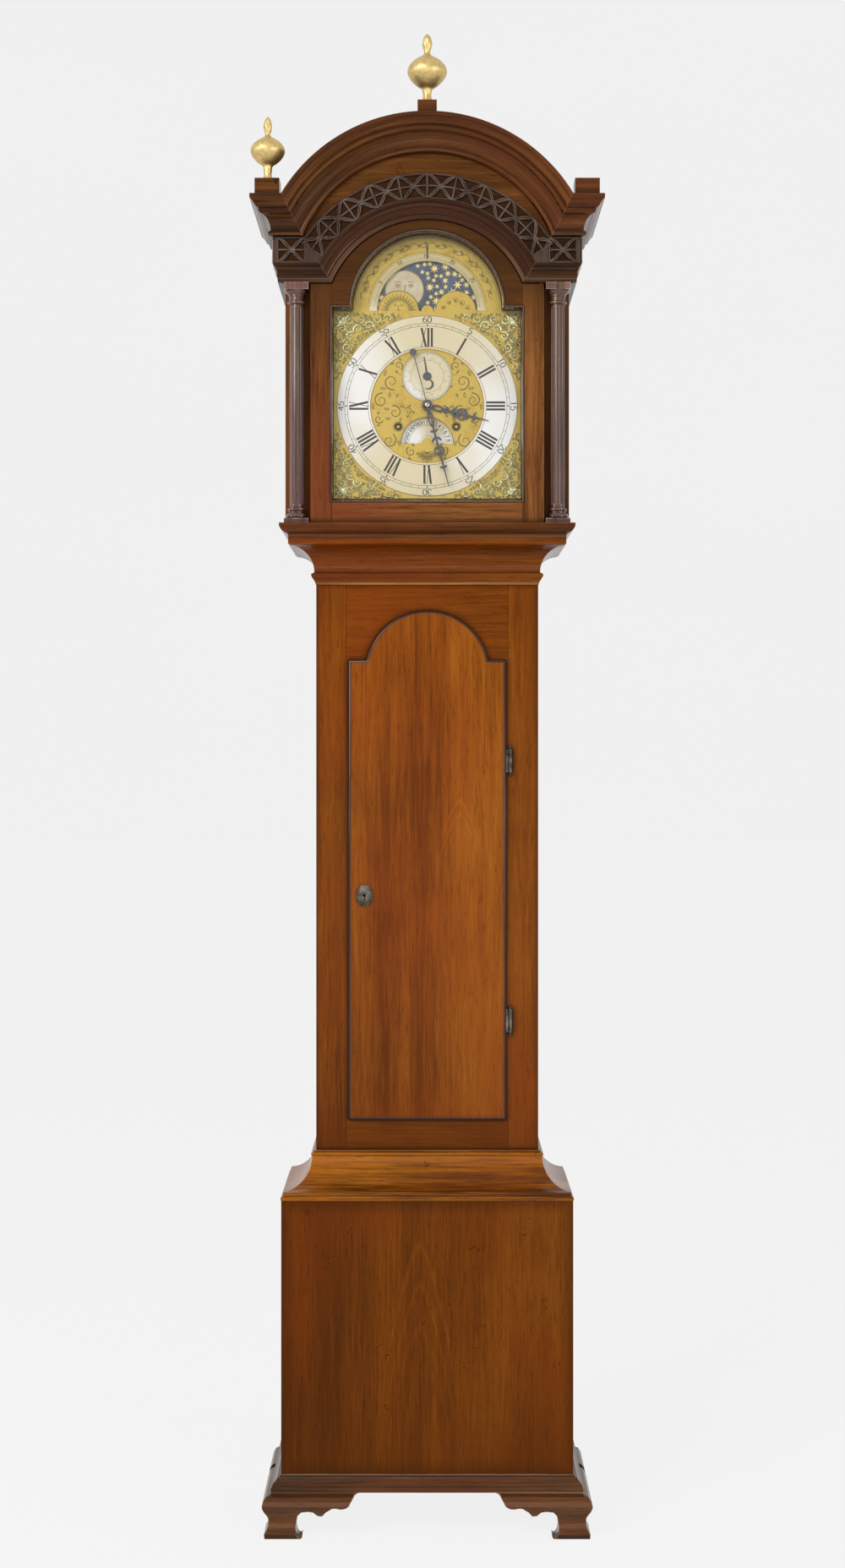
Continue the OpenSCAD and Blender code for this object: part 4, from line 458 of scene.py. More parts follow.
hood_wood = mahogany("hood_mahogany", (0.05, 0.018, 0.006), (0.2, 0.072, 0.02), (0.3, 0.12, 0.035))
dress(hood_wood, "hood_carcase")
mask_wood = mahogany("mask_mahogany", (0.02, 0.008, 0.004), (0.06, 0.021, 0.007), (0.11, 0.04, 0.012))
dress(mask_wood, "dial_mask")
# Painted shade in its quirks; its edges are lighter, partly from wear and partly as painted highlight.
hood_base_wood = mahogany("hood_base_mahogany", (0.026, 0.009, 0.004), (0.13, 0.036, 0.004),
                          (0.25, 0.08, 0.01), "level", gloss=0.2, coat=0.2, ribbon=1.5, quirk_shade=0.85,
                          edge=(0.38, 0.17, 0.06))
dress(hood_base_wood, "hood_base_moulding")
vault_wood = plain_board("vault_oak", (0.03, 0.017, 0.01), (0.075, 0.042, 0.022), (0.12, 0.075, 0.042))
dress(vault_wood, "hood_top")
arch_middle = 1.924
# Painted shade in its quirks; its edges are lighter, partly from wear and partly as painted highlight.
architrave_wood = mahogany("architrave_mahogany", (0.012, 0.005, 0.003), (0.05, 0.017, 0.006),
                           (0.11, 0.038, 0.012), "level",
                           (arch_middle, 0.18, 1.988, 0.1525, 0.171, 2.0176),
                           gloss=0.2, coat=0.16, ribbon=1.6, quirk_shade=0.9, edge=(0.17, 0.092, 0.055))
dress(architrave_wood, "architrave")
# Behind the fret the frieze is darker, partly darker polish and partly painted shade.
frieze_wood = mahogany("frieze_mahogany", (0.03, 0.01, 0.003), (0.1, 0.034, 0.007),
                       (0.24, 0.09, 0.018), "level", gloss=0.26, coat=0.06, ribbon=1.15,
                       ground=(arch_middle, 0.2365, 2.0575))
dress(frieze_wood, "frieze_boards")
# Painted shade in its quirks; its edges are lighter, partly from wear and partly as painted highlight.
cornice_wood = mahogany("cornice_mahogany", (0.014, 0.006, 0.003), (0.118, 0.039, 0.009),
                        (0.26, 0.095, 0.019), "level", (1.9796, 0.24, 2.058, 0.197, 0.23, 2.119),
                        gloss=0.22, coat=0.14, ribbon=1.7, quirk_shade=0.95, edge=(0.21, 0.088, 0.04))
dress(cornice_wood, "cornice")


# The fret on the frieze
# Thin mahogany, sawn into stars and lancets, its ribs worked double with a carving tool, then
# glued on the frieze. It is nearly black with old polish, with painted shade in its hollows, and
# the ribs' edges are lighter, partly from wear and partly as painted highlight.

def quads_of(points, capped=True):
    """Faces of a grid of points: rows follow the path and each row closes on itself, so that the
    row index wraps. The first and last rows are capped."""
    rows, around = points.shape[:2]
    start = np.arange(rows - 1)[:, None] * around
    here = start + np.arange(around)[None, :]
    beside = start + (np.arange(around)[None, :] + 1) % around
    faces = np.stack([here, beside, beside + around, here + around], axis=-1).reshape(-1, 4).tolist()
    if capped:
        faces.append(list(range(around)))
        faces.append(list(range((rows - 1) * around, rows * around)))
    return points.reshape(-1, 3), faces


def made_of(name, shapes, finish, body, smooth=40.0):
    """One object from several shapes of (points, faces): doubled points are merged, faces sent
    outwards, and edges flatter than the smooth angle are shaded round."""
    counts = np.cumsum([0] + [len(points) for points, faces in shapes])
    points = np.concatenate([points for points, faces in shapes])
    faces = [[corner + int(first) for corner in face]
             for first, (kept, own) in zip(counts, shapes) for face in own]
    mesh = bpy.data.meshes.new(name)
    mesh.from_pydata(points.tolist(), [], faces)
    work = bmesh.new()
    work.from_mesh(mesh)
    bmesh.ops.remove_doubles(work, verts=work.verts, dist=2e-7)
    bmesh.ops.dissolve_degenerate(work, edges=work.edges, dist=1e-8)
    bmesh.ops.recalc_face_normals(work, faces=work.faces)
    work.to_mesh(mesh)
    work.free()
    mesh.materials.append(finish)
    mesh.shade_smooth()
    mesh.set_sharp_from_angle(angle=math.radians(smooth))
    made = bpy.data.objects.new(name, mesh)
    bpy.context.collection.objects.link(made)
    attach(made, body)
    return made


def raised(path, half, stand, depth, steps=6):
    """A raised stroke along a path of (x, z) points. At each point the cross-section is half an
    ellipse, half wide to each side and standing stand in front of its flat back at Y depth."""
    run = np.gradient(path, axis=0)
    run /= np.maximum(np.linalg.norm(run, axis=1, keepdims=True), 1e-12)
    turn = np.linspace(0.0, math.pi, steps)
    across = np.outer(np.broadcast_to(half, len(path)), np.cos(turn))
    y = depth - np.outer(np.broadcast_to(stand, len(path)), np.sin(turn))
    x = path[:, :1] - run[:, 1:] * across
    z = path[:, 1:] + run[:, :1] * across
    return quads_of(np.stack([x, y, z], axis=-1))


def eased(knots, steps=12):
    """A smooth path through a few (x, z) knots: a Catmull-Rom curve with its ends extended."""
    knots = np.asarray(knots, float)
    ends = np.vstack([2 * knots[0] - knots[1], knots, 2 * knots[-1] - knots[-2]])
    t = np.linspace(0.0, 1.0, steps, endpoint=False)[:, None]
    parts = []
    for a, b, c, d in zip(ends[:-3], ends[1:-2], ends[2:-1], ends[3:]):
        parts.append(0.5 * (2 * b + (c - a) * t + (2 * a - 5 * b + 4 * c - d) * t ** 2
                            + (3 * b - a - 3 * c + d) * t ** 3))
    return np.vstack(parts + [knots[-1:]])


def swollen(path, first, last, half, stand):
    """A rib of (path, half width, height). Width and height are given as (least, growth) and grow
    as half a wave, cut short by first and last radians at its ends."""
    swell = np.sin(np.linspace(first, math.pi - last, len(path)))
    return path, half[0] + half[1] * swell, stand[0] + stand[1] * swell


# Painted shade in the fret's hollows; the ribs' lighter edges are partly wear and partly painted
# highlight.
fret_wood = mahogany("fret_mahogany", (0.018, 0.009, 0.005), (0.078, 0.04, 0.023), (0.16, 0.08, 0.045),
                     gloss=0.16, coat=0.5, glint=(1.0, 0.75, 0.6), quirk_shade=0.8)
rib_wood = mahogany("rib_mahogany", (0.02, 0.01, 0.006), (0.075, 0.037, 0.02), (0.16, 0.08, 0.046),
                    gloss=0.1, coat=1.0, glint=(1.0, 0.85, 0.75), quirk_shade=0.3, edge=(0.17, 0.125, 0.098))
dress(fret_wood, "fretwork")
fret_tall = 0.0404
fret_mid = 2.0378
fret_radius = 0.2157
fret_swing = math.acos((fret_mid - arch_middle) / fret_radius)
fret_units = round(2 * fret_swing * fret_radius / 0.045)
arch_unit = 2 * fret_swing * fret_radius / fret_units
side_unit = 0.0434
front_plane = -0.0959
side_plane = 0.2454
side_start = -0.087


def fret_ribs(wide):
    """The ribs of one unit about its own middle: from the star, two ribs run side by side up to
    each apex, a leaf lies to each side, and a mullion stands at the edge. Each is (path, half
    width, height)."""
    ribs = []
    for s in (-1, 1):
        for v in (-1, 1):
            for off in (-0.026, 0.026):
                knots = [(0.012, 0.012), (0.13 + off, 0.14 - off), (0.24 + off, 0.28 - off),
                         (0.36 + 0.7 * off, 0.385 - 0.7 * off), (0.487, 0.468)]
                ribs.append(swollen(eased(knots, 4) * [s * wide, v * fret_tall], 0.25, 0.35,
                                    (0.0006, 0.0007), (0.0012, 0.001)))
        leaf = eased([(0.03, 0.0), (0.2, 0.0), (0.45, 0.0)], 5) * [s * wide, fret_tall]
        ribs.append(swollen(leaf, 0.1, 0.2, (0.0004, 0.0011), (0.0008, 0.0012)))
        post = np.linspace((0.487 * s, -0.46), (0.487 * s, 0.46), 6) * [wide, fret_tall]
        ribs.append((post, 0.0008, 0.0014))
    for v in (-1, 1):
        leaf = eased([(0.0, 0.02), (0.0, 0.05), (0.0, 0.13)], 4) * [wide, v * fret_tall]
        ribs.append(swollen(leaf, 0.3, 0.1, (0.0003, 0.0009), (0.0006, 0.0012)))
    return ribs


def bent_round(path, angle):
    """A unit's path laid on the arch at an angle from the top: x becomes the turn along the
    middle radius and z the distance from it."""
    turn = angle + path[:, 0] / fret_radius
    radius = fret_radius + path[:, 1]
    return np.column_stack([radius * np.sin(turn), arch_middle + radius * np.cos(turn)])


rib_shapes = []
for rib, half, stand in fret_ribs(arch_unit):
    for step in range(fret_units):
        unit_angle = fret_swing * ((2 * step + 1) / fret_units - 1)
        rib_shapes.append(raised(bent_round(rib, unit_angle), half, stand, front_plane))
    for side in (-1, 1):
        rib_shapes.append(raised(rib + [side * fret_radius, fret_mid], half, stand, front_plane))
made_of("fret_ribs", rib_shapes, rib_wood, "hood")
side_shapes = []
for rib, half, stand in fret_ribs(side_unit):
    for step in range(5):
        points, faces = raised(rib + [side_start + side_unit * (step + 0.5), fret_mid], half, stand, 0.0)
        for side in (-1, 1):
            turned = [side * (side_plane - points[:, 1]), points[:, 0], points[:, 2]]
            side_shapes.append((np.column_stack(turned), faces))
made_of("fret_side_ribs", side_shapes, rib_wood, "hood")


# The columns
# Turned and fluted mahogany, rubbed nearly black, with square plinths and caps. The flutes shine
# where hands have polished them; their edges are lighter, partly from wear and partly as painted
# highlight, and painted shade lies in their hollows.

# Painted shade in the flutes; lighter edges, partly wear and partly painted highlight.
column_wood = mahogany("column_mahogany", (0.03, 0.015, 0.01), (0.19, 0.095, 0.062), (0.42, 0.25, 0.18),
                       gloss=0.14, coat=0.5, glint=(1.0, 0.93, 0.95), quirk_shade=0.8, edge=(0.6, 0.5, 0.48))
dress(column_wood, "hood_columns")


# The finials
# Turned wood covered with gesso and burnished gold leaf. The leaf is rubbed through to the red
# ground on the crown of the ball, and each finial is pegged into its block.

def gilding(name, gold, worn, wear, rough, dents, bare=0.95, hollow_shade=0.0):
    """Burnished leaf over a red ground: worn patches where a slow cloud is high, fine overlaps of
    the leaf as tone, and small dents as bump. hollow is the strength of painted shade on the ground
    between raised parts."""
    gilt = Finish(name)
    rubbed = cloud(gilt.place, 55.0, 5.0, 0.65)
    leaf = cloud(gilt.place, 160.0, 3.0, 0.6)
    share = rubbed.span(wear, wear + 0.1, 0.0, 0.7)
    colour = mixed(share, tones(leaf, (0.3, dimmed(gold, 0.72)), (0.6, gold)), worn)
    # Painted shade in the hollows between raised parts.
    if hollow_shade:
        colour = mixed(hemmed(gilt.place, 0.004, 0.35, 0.9) * hollow_shade, colour, dimmed(worn, 0.25))
    return skinned(gilt, colour, rubbed.span(0.0, 1.0, rough - 0.06, rough + 0.14), dents, 0.0008, leaf,
                   {"Metallic": share.span(0.0, 1.0, bare, 0.5)})


def turned_up(profile, around=48, lobes=0, depth=0.0, above=0.0):
    """A profile of (radius, height) turned about the Z axis. Above a height the radius may swell
    and sink in lobes, as a carved flame does."""
    profile = np.asarray(profile, float)
    turn = np.linspace(0.0, math.tau, around, endpoint=False)
    wave = 1.0 + depth * np.cos(lobes * turn + 260.0 * profile[:, 1:]) * (profile[:, 1:] > above)
    radius = profile[:, :1] * wave
    height = np.repeat(profile[:, 1:], around, axis=1)
    return quads_of(np.stack([radius * np.cos(turn), radius * np.sin(turn), height], axis=-1))


def finial_profile(ball, middle, tip, foot):
    """Waisted foot, onion ball and flame, as (radius, height) in metres from the seat."""
    belly = [(0.29, -0.83), (0.55, -0.64), (0.82, -0.37), (0.98, -0.08), (0.98, 0.16), (0.84, 0.42),
             (0.57, 0.65), (0.26, 0.84), (0.175, 0.94), (0.155, 1.05)]
    knots = [(foot, 0.0001), (foot * 0.96, 0.0015), (foot * 0.78, 0.006), (foot * 0.69, 0.011),
             (foot * 0.74, 0.015)]
    knots += [(ball * r, middle + ball * h) for r, h in belly]
    knots += [(ball * 0.21, tip - 0.022), (ball * 0.24, tip - 0.016), (ball * 0.19, tip - 0.008),
              (ball * 0.09, tip - 0.0025), (0.0, tip - 0.0002)]
    return np.vstack([[(0.0, 0.0001)], np.maximum(eased(knots, 5), 0.0)])


leaf_gold = gilding("leaf_gold", (0.74, 0.55, 0.23), (0.34, 0.17, 0.07), 0.64, 0.4, 0.2)
finial_shapes = []
for seat, ball, middle, tip, foot in (
        ((-0.2525, -0.1025, 2.145), 0.0274, 0.046, 0.1019, 0.0089),
        ((0.0, -0.0985, 2.2708), 0.0314, 0.047, 0.1089, 0.0094)):
    points, faces = turned_up(finial_profile(ball, middle, tip, foot), 56, 5, 0.07, middle + ball * 1.2)
    finial_shapes.append((points + seat, faces))
finials = made_of("gilt_finials", finial_shapes, leaf_gold, "hood", 60.0)
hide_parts("finials")


# The hood door
# An arched frame of mahogany, tenoned at the corners, with a dark moulded bead run round its
# opening. It turns on two brass plates with pins, let into its top and foot.

sight_half = 0.152
sight_low = 1.641
sight_spring = 1.9495
# Painted shade lies in its hollows and deepens towards its top, under the cornice.
hood_door_wood = mahogany("hood_door_mahogany", (0.05, 0.019, 0.006), (0.275, 0.104, 0.028),
                          (0.42, 0.18, 0.055), red=(-0.17, 1.66, 0.16), gloss=0.27, quirk_shade=0.8,
                          rails=(sight_half, sight_low, sight_spring), height_shade=(1.85, 1.99))
dress(hood_door_wood, "hood_door_frame")


def bow_path(x, z, rx, rz, first, last, fine=14):
    """Part of an ellipse about (x, z), its angles in degrees anticlockwise from the right."""
    turn = np.radians(np.linspace(first, last, fine))
    return np.column_stack([x + rx * np.cos(turn), z + rz * np.sin(turn)])


def arched_outline(half, low, spring, chord, rise):
    """Outline of an opening, run anticlockwise as seen from the front: a rectangle from low to
    spring, half wide to each side, and an arch on it with half a chord and a rise. The arch's
    radius is the sum of their squares over twice the rise."""
    radius = (chord ** 2 + rise ** 2) / (2 * rise)
    reach = math.degrees(math.atan2(radius - rise, chord))
    arc = bow_path(0.0, spring + rise - radius, radius, radius, reach, 180 - reach, 48)
    return np.vstack([[(-half, low), (half, low), (half, spring)], arc, [(-half, spring)]])


def mitred_run(outline, profile):
    """A moulding carried round a closed outline of (x, z) points. profile lists (inset, y): each
    draws the outline moved to its left by the inset, with true mitres at the corners."""
    ahead = np.roll(outline, -1, axis=0) - outline
    ahead /= np.linalg.norm(ahead, axis=1, keepdims=True)
    left = np.column_stack([-ahead[:, 1], ahead[:, 0]])
    before = np.roll(left, 1, axis=0)
    mitre = (left + before) / (1.0 + np.sum(left * before, axis=1, keepdims=True))
    inset, y = np.transpose(profile)
    x = outline[:, :1] + mitre[:, :1] * inset
    z = outline[:, 1:] + mitre[:, 1:] * inset
    rows = np.stack([x, np.broadcast_to(y, x.shape), z], axis=-1)
    return quads_of(np.concatenate([rows, rows[:1]]), capped=False)


# Painted shade lies in the bead's hollows.
bead_wood = mahogany("bead_mahogany", (0.025, 0.012, 0.008), (0.085, 0.045, 0.03), (0.15, 0.09, 0.06),
                     gloss=0.14, coat=0.8, glint=(1.0, 0.85, 0.85), quirk_shade=0.7)
bead_profile = np.vstack([[(-0.0028, -0.083)], bow_path(-0.0012, -0.0845, -0.0014, -0.0013, 0, 180, 8),
                          [(0.0016, -0.0815), (0.0016, -0.0775), (-0.0028, -0.0775)]])
sight = arched_outline(sight_half, sight_low, sight_spring, 0.1215, 0.1215)
made_of("hood_door_bead", [mitred_run(sight, bead_profile)], bead_wood, "hood_door")

glass = Finish("window_glass")
drawn_wave = cloud(glass.place, 9.0, 1.0, 0.4)
window_glass = skinned(glass, (0.8, 0.86, 0.85), 0.03, 0.05, 0.002, drawn_wave,
                       {"Alpha": 0.02, "Specular IOR Level": 0.35})
dress(window_glass, "hood_door_glass")


# The trunk door's lip
# The door's edge is run into an ovolo that laps over the frame. Hands and dusters have polished it
# brighter than the rest; its darker colour is partly wax and partly painted shade, and painted
# shade lies in its hollows.

# Dark lip colour: partly wax and partly painted shade, with painted shade in its hollows.
lip_wood = mahogany("lip_mahogany", (0.025, 0.008, 0.003), (0.06, 0.018, 0.004), (0.11, 0.035, 0.008),
                    gloss=0.12, coat=0.4, glint=(1.0, 0.8, 0.7), quirk_shade=0.8)
lip_profile = np.vstack([[(0.0001, -0.0412)], bow_path(0.0035, -0.0436, -0.0034, -0.0036, 0, 90, 7),
                         [(0.0044, -0.0470), (0.0044, -0.0412)]])
door_edge = arched_outline(0.127, 0.649, 1.389, 0.098, 0.08)
made_of("door_lip", [mitred_run(door_edge, lip_profile)], lip_wood, "trunk_door", 60.0)


# The brass and steel of the case
# Butt hinges and an oval escutcheon of cast brass, filed and pinned on, now dull and dark. The
# lock's box is iron, screwed inside the door, and its bolt is bright.

def halfway(first, second):
    """The colour midway between two."""
    return tuple(0.5 * (a + b) for a, b in zip(first, second))


def old_metal(name, light, dark, rough, tarnish, scale, scratch, metallic=1.0, coat=0.0):
    """Worked metal. Two tones meet where tarnish lies in clouds, fine scratches run both ways as
    bump, and the tarnished places are rougher. It also serves for gut, wax and paint, which are
    less metallic."""
    metal = Finish(name)
    age = cloud(metal.place, scale, 5.0, 0.62, 0.4)
    spots = cloud(metal.place, scale * 9.0, 3.0, 0.6)
    line = cloud(metal.place, (1600.0, 60.0), 2.0, 0.5)
    share = spots * 0.3 + age.span(0.62 - 0.4 * tarnish, 0.8 - 0.3 * tarnish) * 0.8
    colour = tones(share, (0.1, light), (0.6, halfway(light, dark)), (1.0, dark))
    return skinned(metal, colour, share.span(0.0, 1.0, rough - 0.05, rough + 0.22), scratch, 0.0003,
                   line * 0.4 + spots, {"Metallic": metallic, "Coat Weight": coat})


pewter_brass = old_metal("dull_brass", (0.15, 0.13, 0.105), (0.035, 0.03, 0.025), 0.3, 0.6, 60.0, 0.3)
old_iron = old_metal("old_iron", (0.12, 0.11, 0.1), (0.05, 0.035, 0.025), 0.5, 0.7, 50.0, 0.35)
bright_steel = old_metal("bright_steel", (0.52, 0.52, 0.53), (0.25, 0.22, 0.19), 0.28, 0.35, 40.0, 0.2)
dress(pewter_brass, "door_hinge_leaves", "fixed_hinge_leaves", "escutcheon", "hood_door_pivots")
dress(old_iron, "door_lock")
dress(bright_steel, "lock_bolt")


# The dial plate and its rings
# A cast brass plate, hammered, scraped and gilded. The chapter ring, the strike disc and the
# lunar arc are brass silvered with a paste of silver salt, and feathered to the plate behind.

dial_face = -0.052
ring_face = -0.0535
disc_face = -0.053
dial_at = (0.0, 1.797)
strike_at = (0.0, 1.8446)
date_at = (0.0, 1.737)
moon_at = (0.0, 1.9495)
winding_x = 0.0466
winding_z = 1.764


def silvering(name, cool, warm, middle, warm_above=9.0):
    """Brushed silvering gone yellow with age: the brushing runs round a middle on the clock's
    upright axis, cool patches lie where a cloud is high, and a painted sheen, cool on two opposite
    sides of the middle, stands for the brushed ring's reflection. Above warm_above all of
    it is yellowed."""
    ring = Finish(name)
    x, y, z = axes(ring.place)
    rise = z - middle
    turn = reckon("ARCTAN2", x, rise)
    brush = cloud(joined(far(x, rise) * 2600.0, turn * 3.0), 1.0, 2.0, 0.5)
    patch = cloud(ring.place, 9.0, 4.0, 0.6, 0.3)
    high = z.span(warm_above, warm_above + 0.03, 0.0, 0.7)
    # The cloud gives cool patches; the sine of twice the turn paints a cool sheen, a painted reflection,
    # on two opposite sides.
    share = patch * 0.9 + reckon("SINE", turn * 2.0 + 4.19) * 0.42 - 0.02 - high * 0.4
    colour = tones(share, (0.2, warm), (0.5, halfway(cool, warm)), (0.85, cool))
    colour = mixed(high, colour, (0.44, 0.36, 0.15))
    stain = cloud(ring.place, 190.0, 4.0, 0.7).span(0.62, 0.8, 0.0, 0.45)
    colour = mixed(stain, colour, dimmed(warm, 0.45))
    rough = patch.span(0.0, 1.0, 0.34, 0.55)
    return skinned(ring, colour, rough, 0.12, 0.0002, brush, {"Metallic": 0.55})


dial_brass = old_metal("dial_brass", (0.52, 0.375, 0.085), (0.35, 0.24, 0.045), 0.4, 0.35, 22.0, 0.35)
silvered = silvering("silvered_ring", (0.76, 0.75, 0.73), (0.62, 0.545, 0.36), dial_at[1], 1.944)
engraver_wax = old_metal("engraver_wax", (0.03, 0.024, 0.018), (0.055, 0.042, 0.03), 0.6, 0.5, 300.0,
                         0.1, 0.0)
old_engraving = old_metal("old_engraving", (0.11, 0.075, 0.025), (0.17, 0.115, 0.04), 0.55, 0.5,
                          200.0, 0.1, 0.1)
dress(dial_brass, "dial_plate")
dress(silvered, "silvered_rings")


def inked(path, half, face):
    """A stroke filled with wax, flush with a face apart from a twentieth of a millimetre."""
    return raised(path, half, 0.00005, face, 4)


def rings(middle, radii, half, face, reach=180.0, fine=97):
    """Engraved arcs about (x, z), each going up to reach degrees down both sides from the top."""
    return [inked(bow_path(*middle, radius, radius, 90 - reach, 90 + reach, fine), half, face)
            for radius in radii]


def set_round(path, middle, radius, degrees):
    """A path drawn upright about its own foot, carried out to a radius from the middle and turned
    clockwise with it, so that its foot points to the middle."""
    turn = math.radians(degrees)
    side = path[:, 0]
    out = radius + path[:, 1]
    return np.column_stack([middle[0] + out * math.sin(turn) + side * math.cos(turn),
                            middle[1] + out * math.cos(turn) - side * math.sin(turn)])


def straight(*points):
    """A path through points, each leg cut in five so that a stroke keeps its width."""
    points = np.asarray(points, float)
    legs = [a + (b - a) * np.linspace(0, 1, 6)[:-1, None] for a, b in zip(points[:-1], points[1:])]
    return np.vstack(legs + [points[-1:]])


def tick(tall, middle, radius, degrees, half, face):
    """A straight mark that stands outwards on a circle."""
    return inked(set_round(straight((0, 0), (0, tall)), middle, radius, degrees), half, face)


figures = {
    "0": [bow_path(0, 0.5, 0.25, 0.5, 90, 450, 25)],
    "1": [straight((-0.13, 0.86), (0.0, 1.0), (0.0, 0.0))],
    "2": [np.vstack([bow_path(0, 0.72, 0.24, 0.28, 165, -35), straight((-0.26, 0.0), (0.27, 0.0))])],
    "3": [bow_path(-0.01, 0.76, 0.22, 0.24, 155, -85), bow_path(-0.01, 0.27, 0.27, 0.27, 88, -155)],
    "4": [straight((0.12, 0.0), (0.12, 1.0), (-0.26, 0.3), (0.28, 0.3))],
    "5": [straight((0.23, 1.0), (-0.17, 1.0), (-0.21, 0.55)),
          bow_path(-0.01, 0.31, 0.26, 0.31, 130, -155)],
    "6": [bow_path(0, 0.29, 0.25, 0.29, 90, 450, 21), bow_path(0.25, 0.34, 0.5, 0.66, 100, 180)],
    "7": [straight((-0.25, 1.0), (0.26, 1.0), (-0.06, 0.0))],
    "8": [bow_path(0, 0.76, 0.2, 0.24, 90, 450, 21), bow_path(0, 0.27, 0.26, 0.26, 90, 450, 21)],
    "9": [bow_path(0, 0.71, 0.25, 0.29, 90, 450, 21), bow_path(-0.25, 0.66, 0.5, 0.66, 280, 360)],
}


def number_strokes(number, middle, radius, degrees, tall, thick, thin, face):
    """The figures of a number, set round a middle with their feet at the radius. A stroke is a
    quill's: thick where it runs upright and thin where level."""
    text = str(number)
    shapes = []
    for spot, figure in enumerate(text):
        shift = (spot - (len(text) - 1) / 2) * 0.84
        for path in figures[figure]:
            run = np.gradient(path, axis=0)
            half = thin + (thick - thin) * np.abs(run[:, 1]) / np.maximum(np.hypot(*run.T), 1e-12)
            placed = tall * (path * [1.3, 1.0] + [shift, 0.0])
            shapes.append(inked(set_round(placed, middle, radius, degrees), half, face))
    return shapes


def roman_strokes(word, degrees):
    """A Roman hour between its two radii, each letter with a broad and a fine stroke and short
    serifs, its foot towards the middle. A stroke is (top, foot, half width)."""
    tall = 0.0295
    advance = {"I": 0.0056, "V": 0.0088, "X": 0.0092}
    strokes = {"I": [(0, 0, 0.0017)], "V": [(-0.0031, 0.0004, 0.0017), (0.0035, 0.0004, 0.0005)],
               "X": [(-0.0034, 0.0034, 0.0017), (0.0034, -0.0034, 0.0005)]}
    shapes = []
    at = -sum(advance[letter] for letter in word) / 2
    for letter in word:
        at += advance[letter] / 2
        for top, low, half in strokes[letter]:
            cuts = [(np.linspace((at + low, 0.0), (at + top, tall), 5), half)]
            for end, level in ((top, tall), (low, 0.0)):
                cuts.append((straight((at + end - 0.0019, level), (at + end + 0.0019, level)), 0.00026))
            for path, width in cuts:
                shapes.append(inked(set_round(path, dial_at, 0.0955, degrees), width, ring_face))
        at += advance[letter] / 2
    return shapes


minute_ring = 0.1283
chapter_ink = rings(dial_at, (minute_ring, 0.1327, 0.0948, 0.1447), 0.00032, ring_face, fine=145)
for hour, word in enumerate("XII I II III IIII V VI VII VIII IX X XI".split()):
    chapter_ink += roman_strokes(word, 30.0 * hour)
for minute in range(60):
    half = 0.00024 if minute % 5 else 0.0007
    chapter_ink.append(tick(0.0044, dial_at, minute_ring, 6.0 * minute, half, ring_face))
for five in range(5, 61, 5):
    chapter_ink += number_strokes(five, dial_at, 0.1342, 6.0 * five, 0.0092, 0.00078, 0.0004, ring_face)
for quarter in range(48):
    chapter_ink.append(tick(0.0016, dial_at, 0.0926, 7.5 * quarter, 0.00014, ring_face))
made_of("chapter_engraving", chapter_ink, engraver_wax, "case")

upper_ink = rings(strike_at, (0.0383, 0.0366, 0.0262), 0.00022, disc_face)
upper_ink += rings(moon_at, (0.0811, 0.0849, 0.0921), 0.00018, disc_face, 86, 73)
for step in range(24):
    tall = 0.0022 if step % 6 else 0.0042
    upper_ink.append(tick(tall, strike_at, 0.0324, 15.0 * step, 0.0002, disc_face))
scallop = bow_path(0.0, 0.0, 0.0028, 0.0022, 20, 160)
for step in range(12):
    upper_ink.append(inked(set_round(scallop, strike_at, 0.0277, 30.0 * step + 15), 0.00025, disc_face))
age_start = -84.0
age_step = 168.0 / 59
for age in range(60):
    tall, half = (0.0032, 0.00028) if age % 10 == 9 else (0.0022 if age % 2 else 0.0013, 0.00015)
    upper_ink.append(tick(tall, moon_at, 0.0812, age_start + age_step * age, half, disc_face))
for day in range(5, 30, 5):
    degrees = age_start + age_step * (2 * day - 1)
    upper_ink += number_strokes(day, moon_at, 0.0861, degrees, 0.0052, 0.00055, 0.00026, disc_face)
made_of("upper_engraving", upper_ink, engraver_wax, "case")


def scroll_path(x, z, size, start, turns, hand=1.0, fine=30):
    """A spiral about (x, z) that unwinds from a fifth of its size: start is the outer end's
    angle in degrees, and hand is 1 or -1 for the way it winds in."""
    t = np.linspace(0.0, 1.0, fine)
    radius = size * (1.0 - 0.84 * t ** 0.8)
    turn = math.radians(start) + hand * math.tau * turns * t
    return np.column_stack([x + radius * np.cos(turn), z + radius * np.sin(turn)])


def leaf_paths(x, z, size, degrees, curl):
    """A leaf with its foot at (x, z): two edges that bow apart and meet at a curled tip, and a
    vein between them."""
    t = np.linspace(0.0, 1.0, 12)
    bend = math.radians(degrees) + curl * t
    spine = np.cumsum(np.column_stack([np.cos(bend), np.sin(bend)]) * size / 12, axis=0) + [x, z]
    normal = np.column_stack([-np.sin(bend), np.cos(bend)])
    swell = (np.sin(math.pi * t ** 0.8) * 0.2 * size)[:, None]
    return [spine + normal * swell, spine - normal * swell, spine[1:-2]]


def out_from(x, z, radius, degrees):
    """The point at a radius from (x, z), its angle in degrees anticlockwise from the right."""
    return x + radius * math.cos(math.radians(degrees)), z + radius * math.sin(math.radians(degrees))


def features(middle, bows, face):
    """The drawn arcs of a round face. Each is (out, up, x radius, z radius, first, last, half
    width), and one that lies out from the middle is drawn on both sides."""
    return [inked(bow_path(middle[0] + side * out, middle[1] + up, rx, rz, first, last), half, face)
            for out, up, rx, rz, first, last, half in bows for side in ((-1, 1) if out else (1,))]


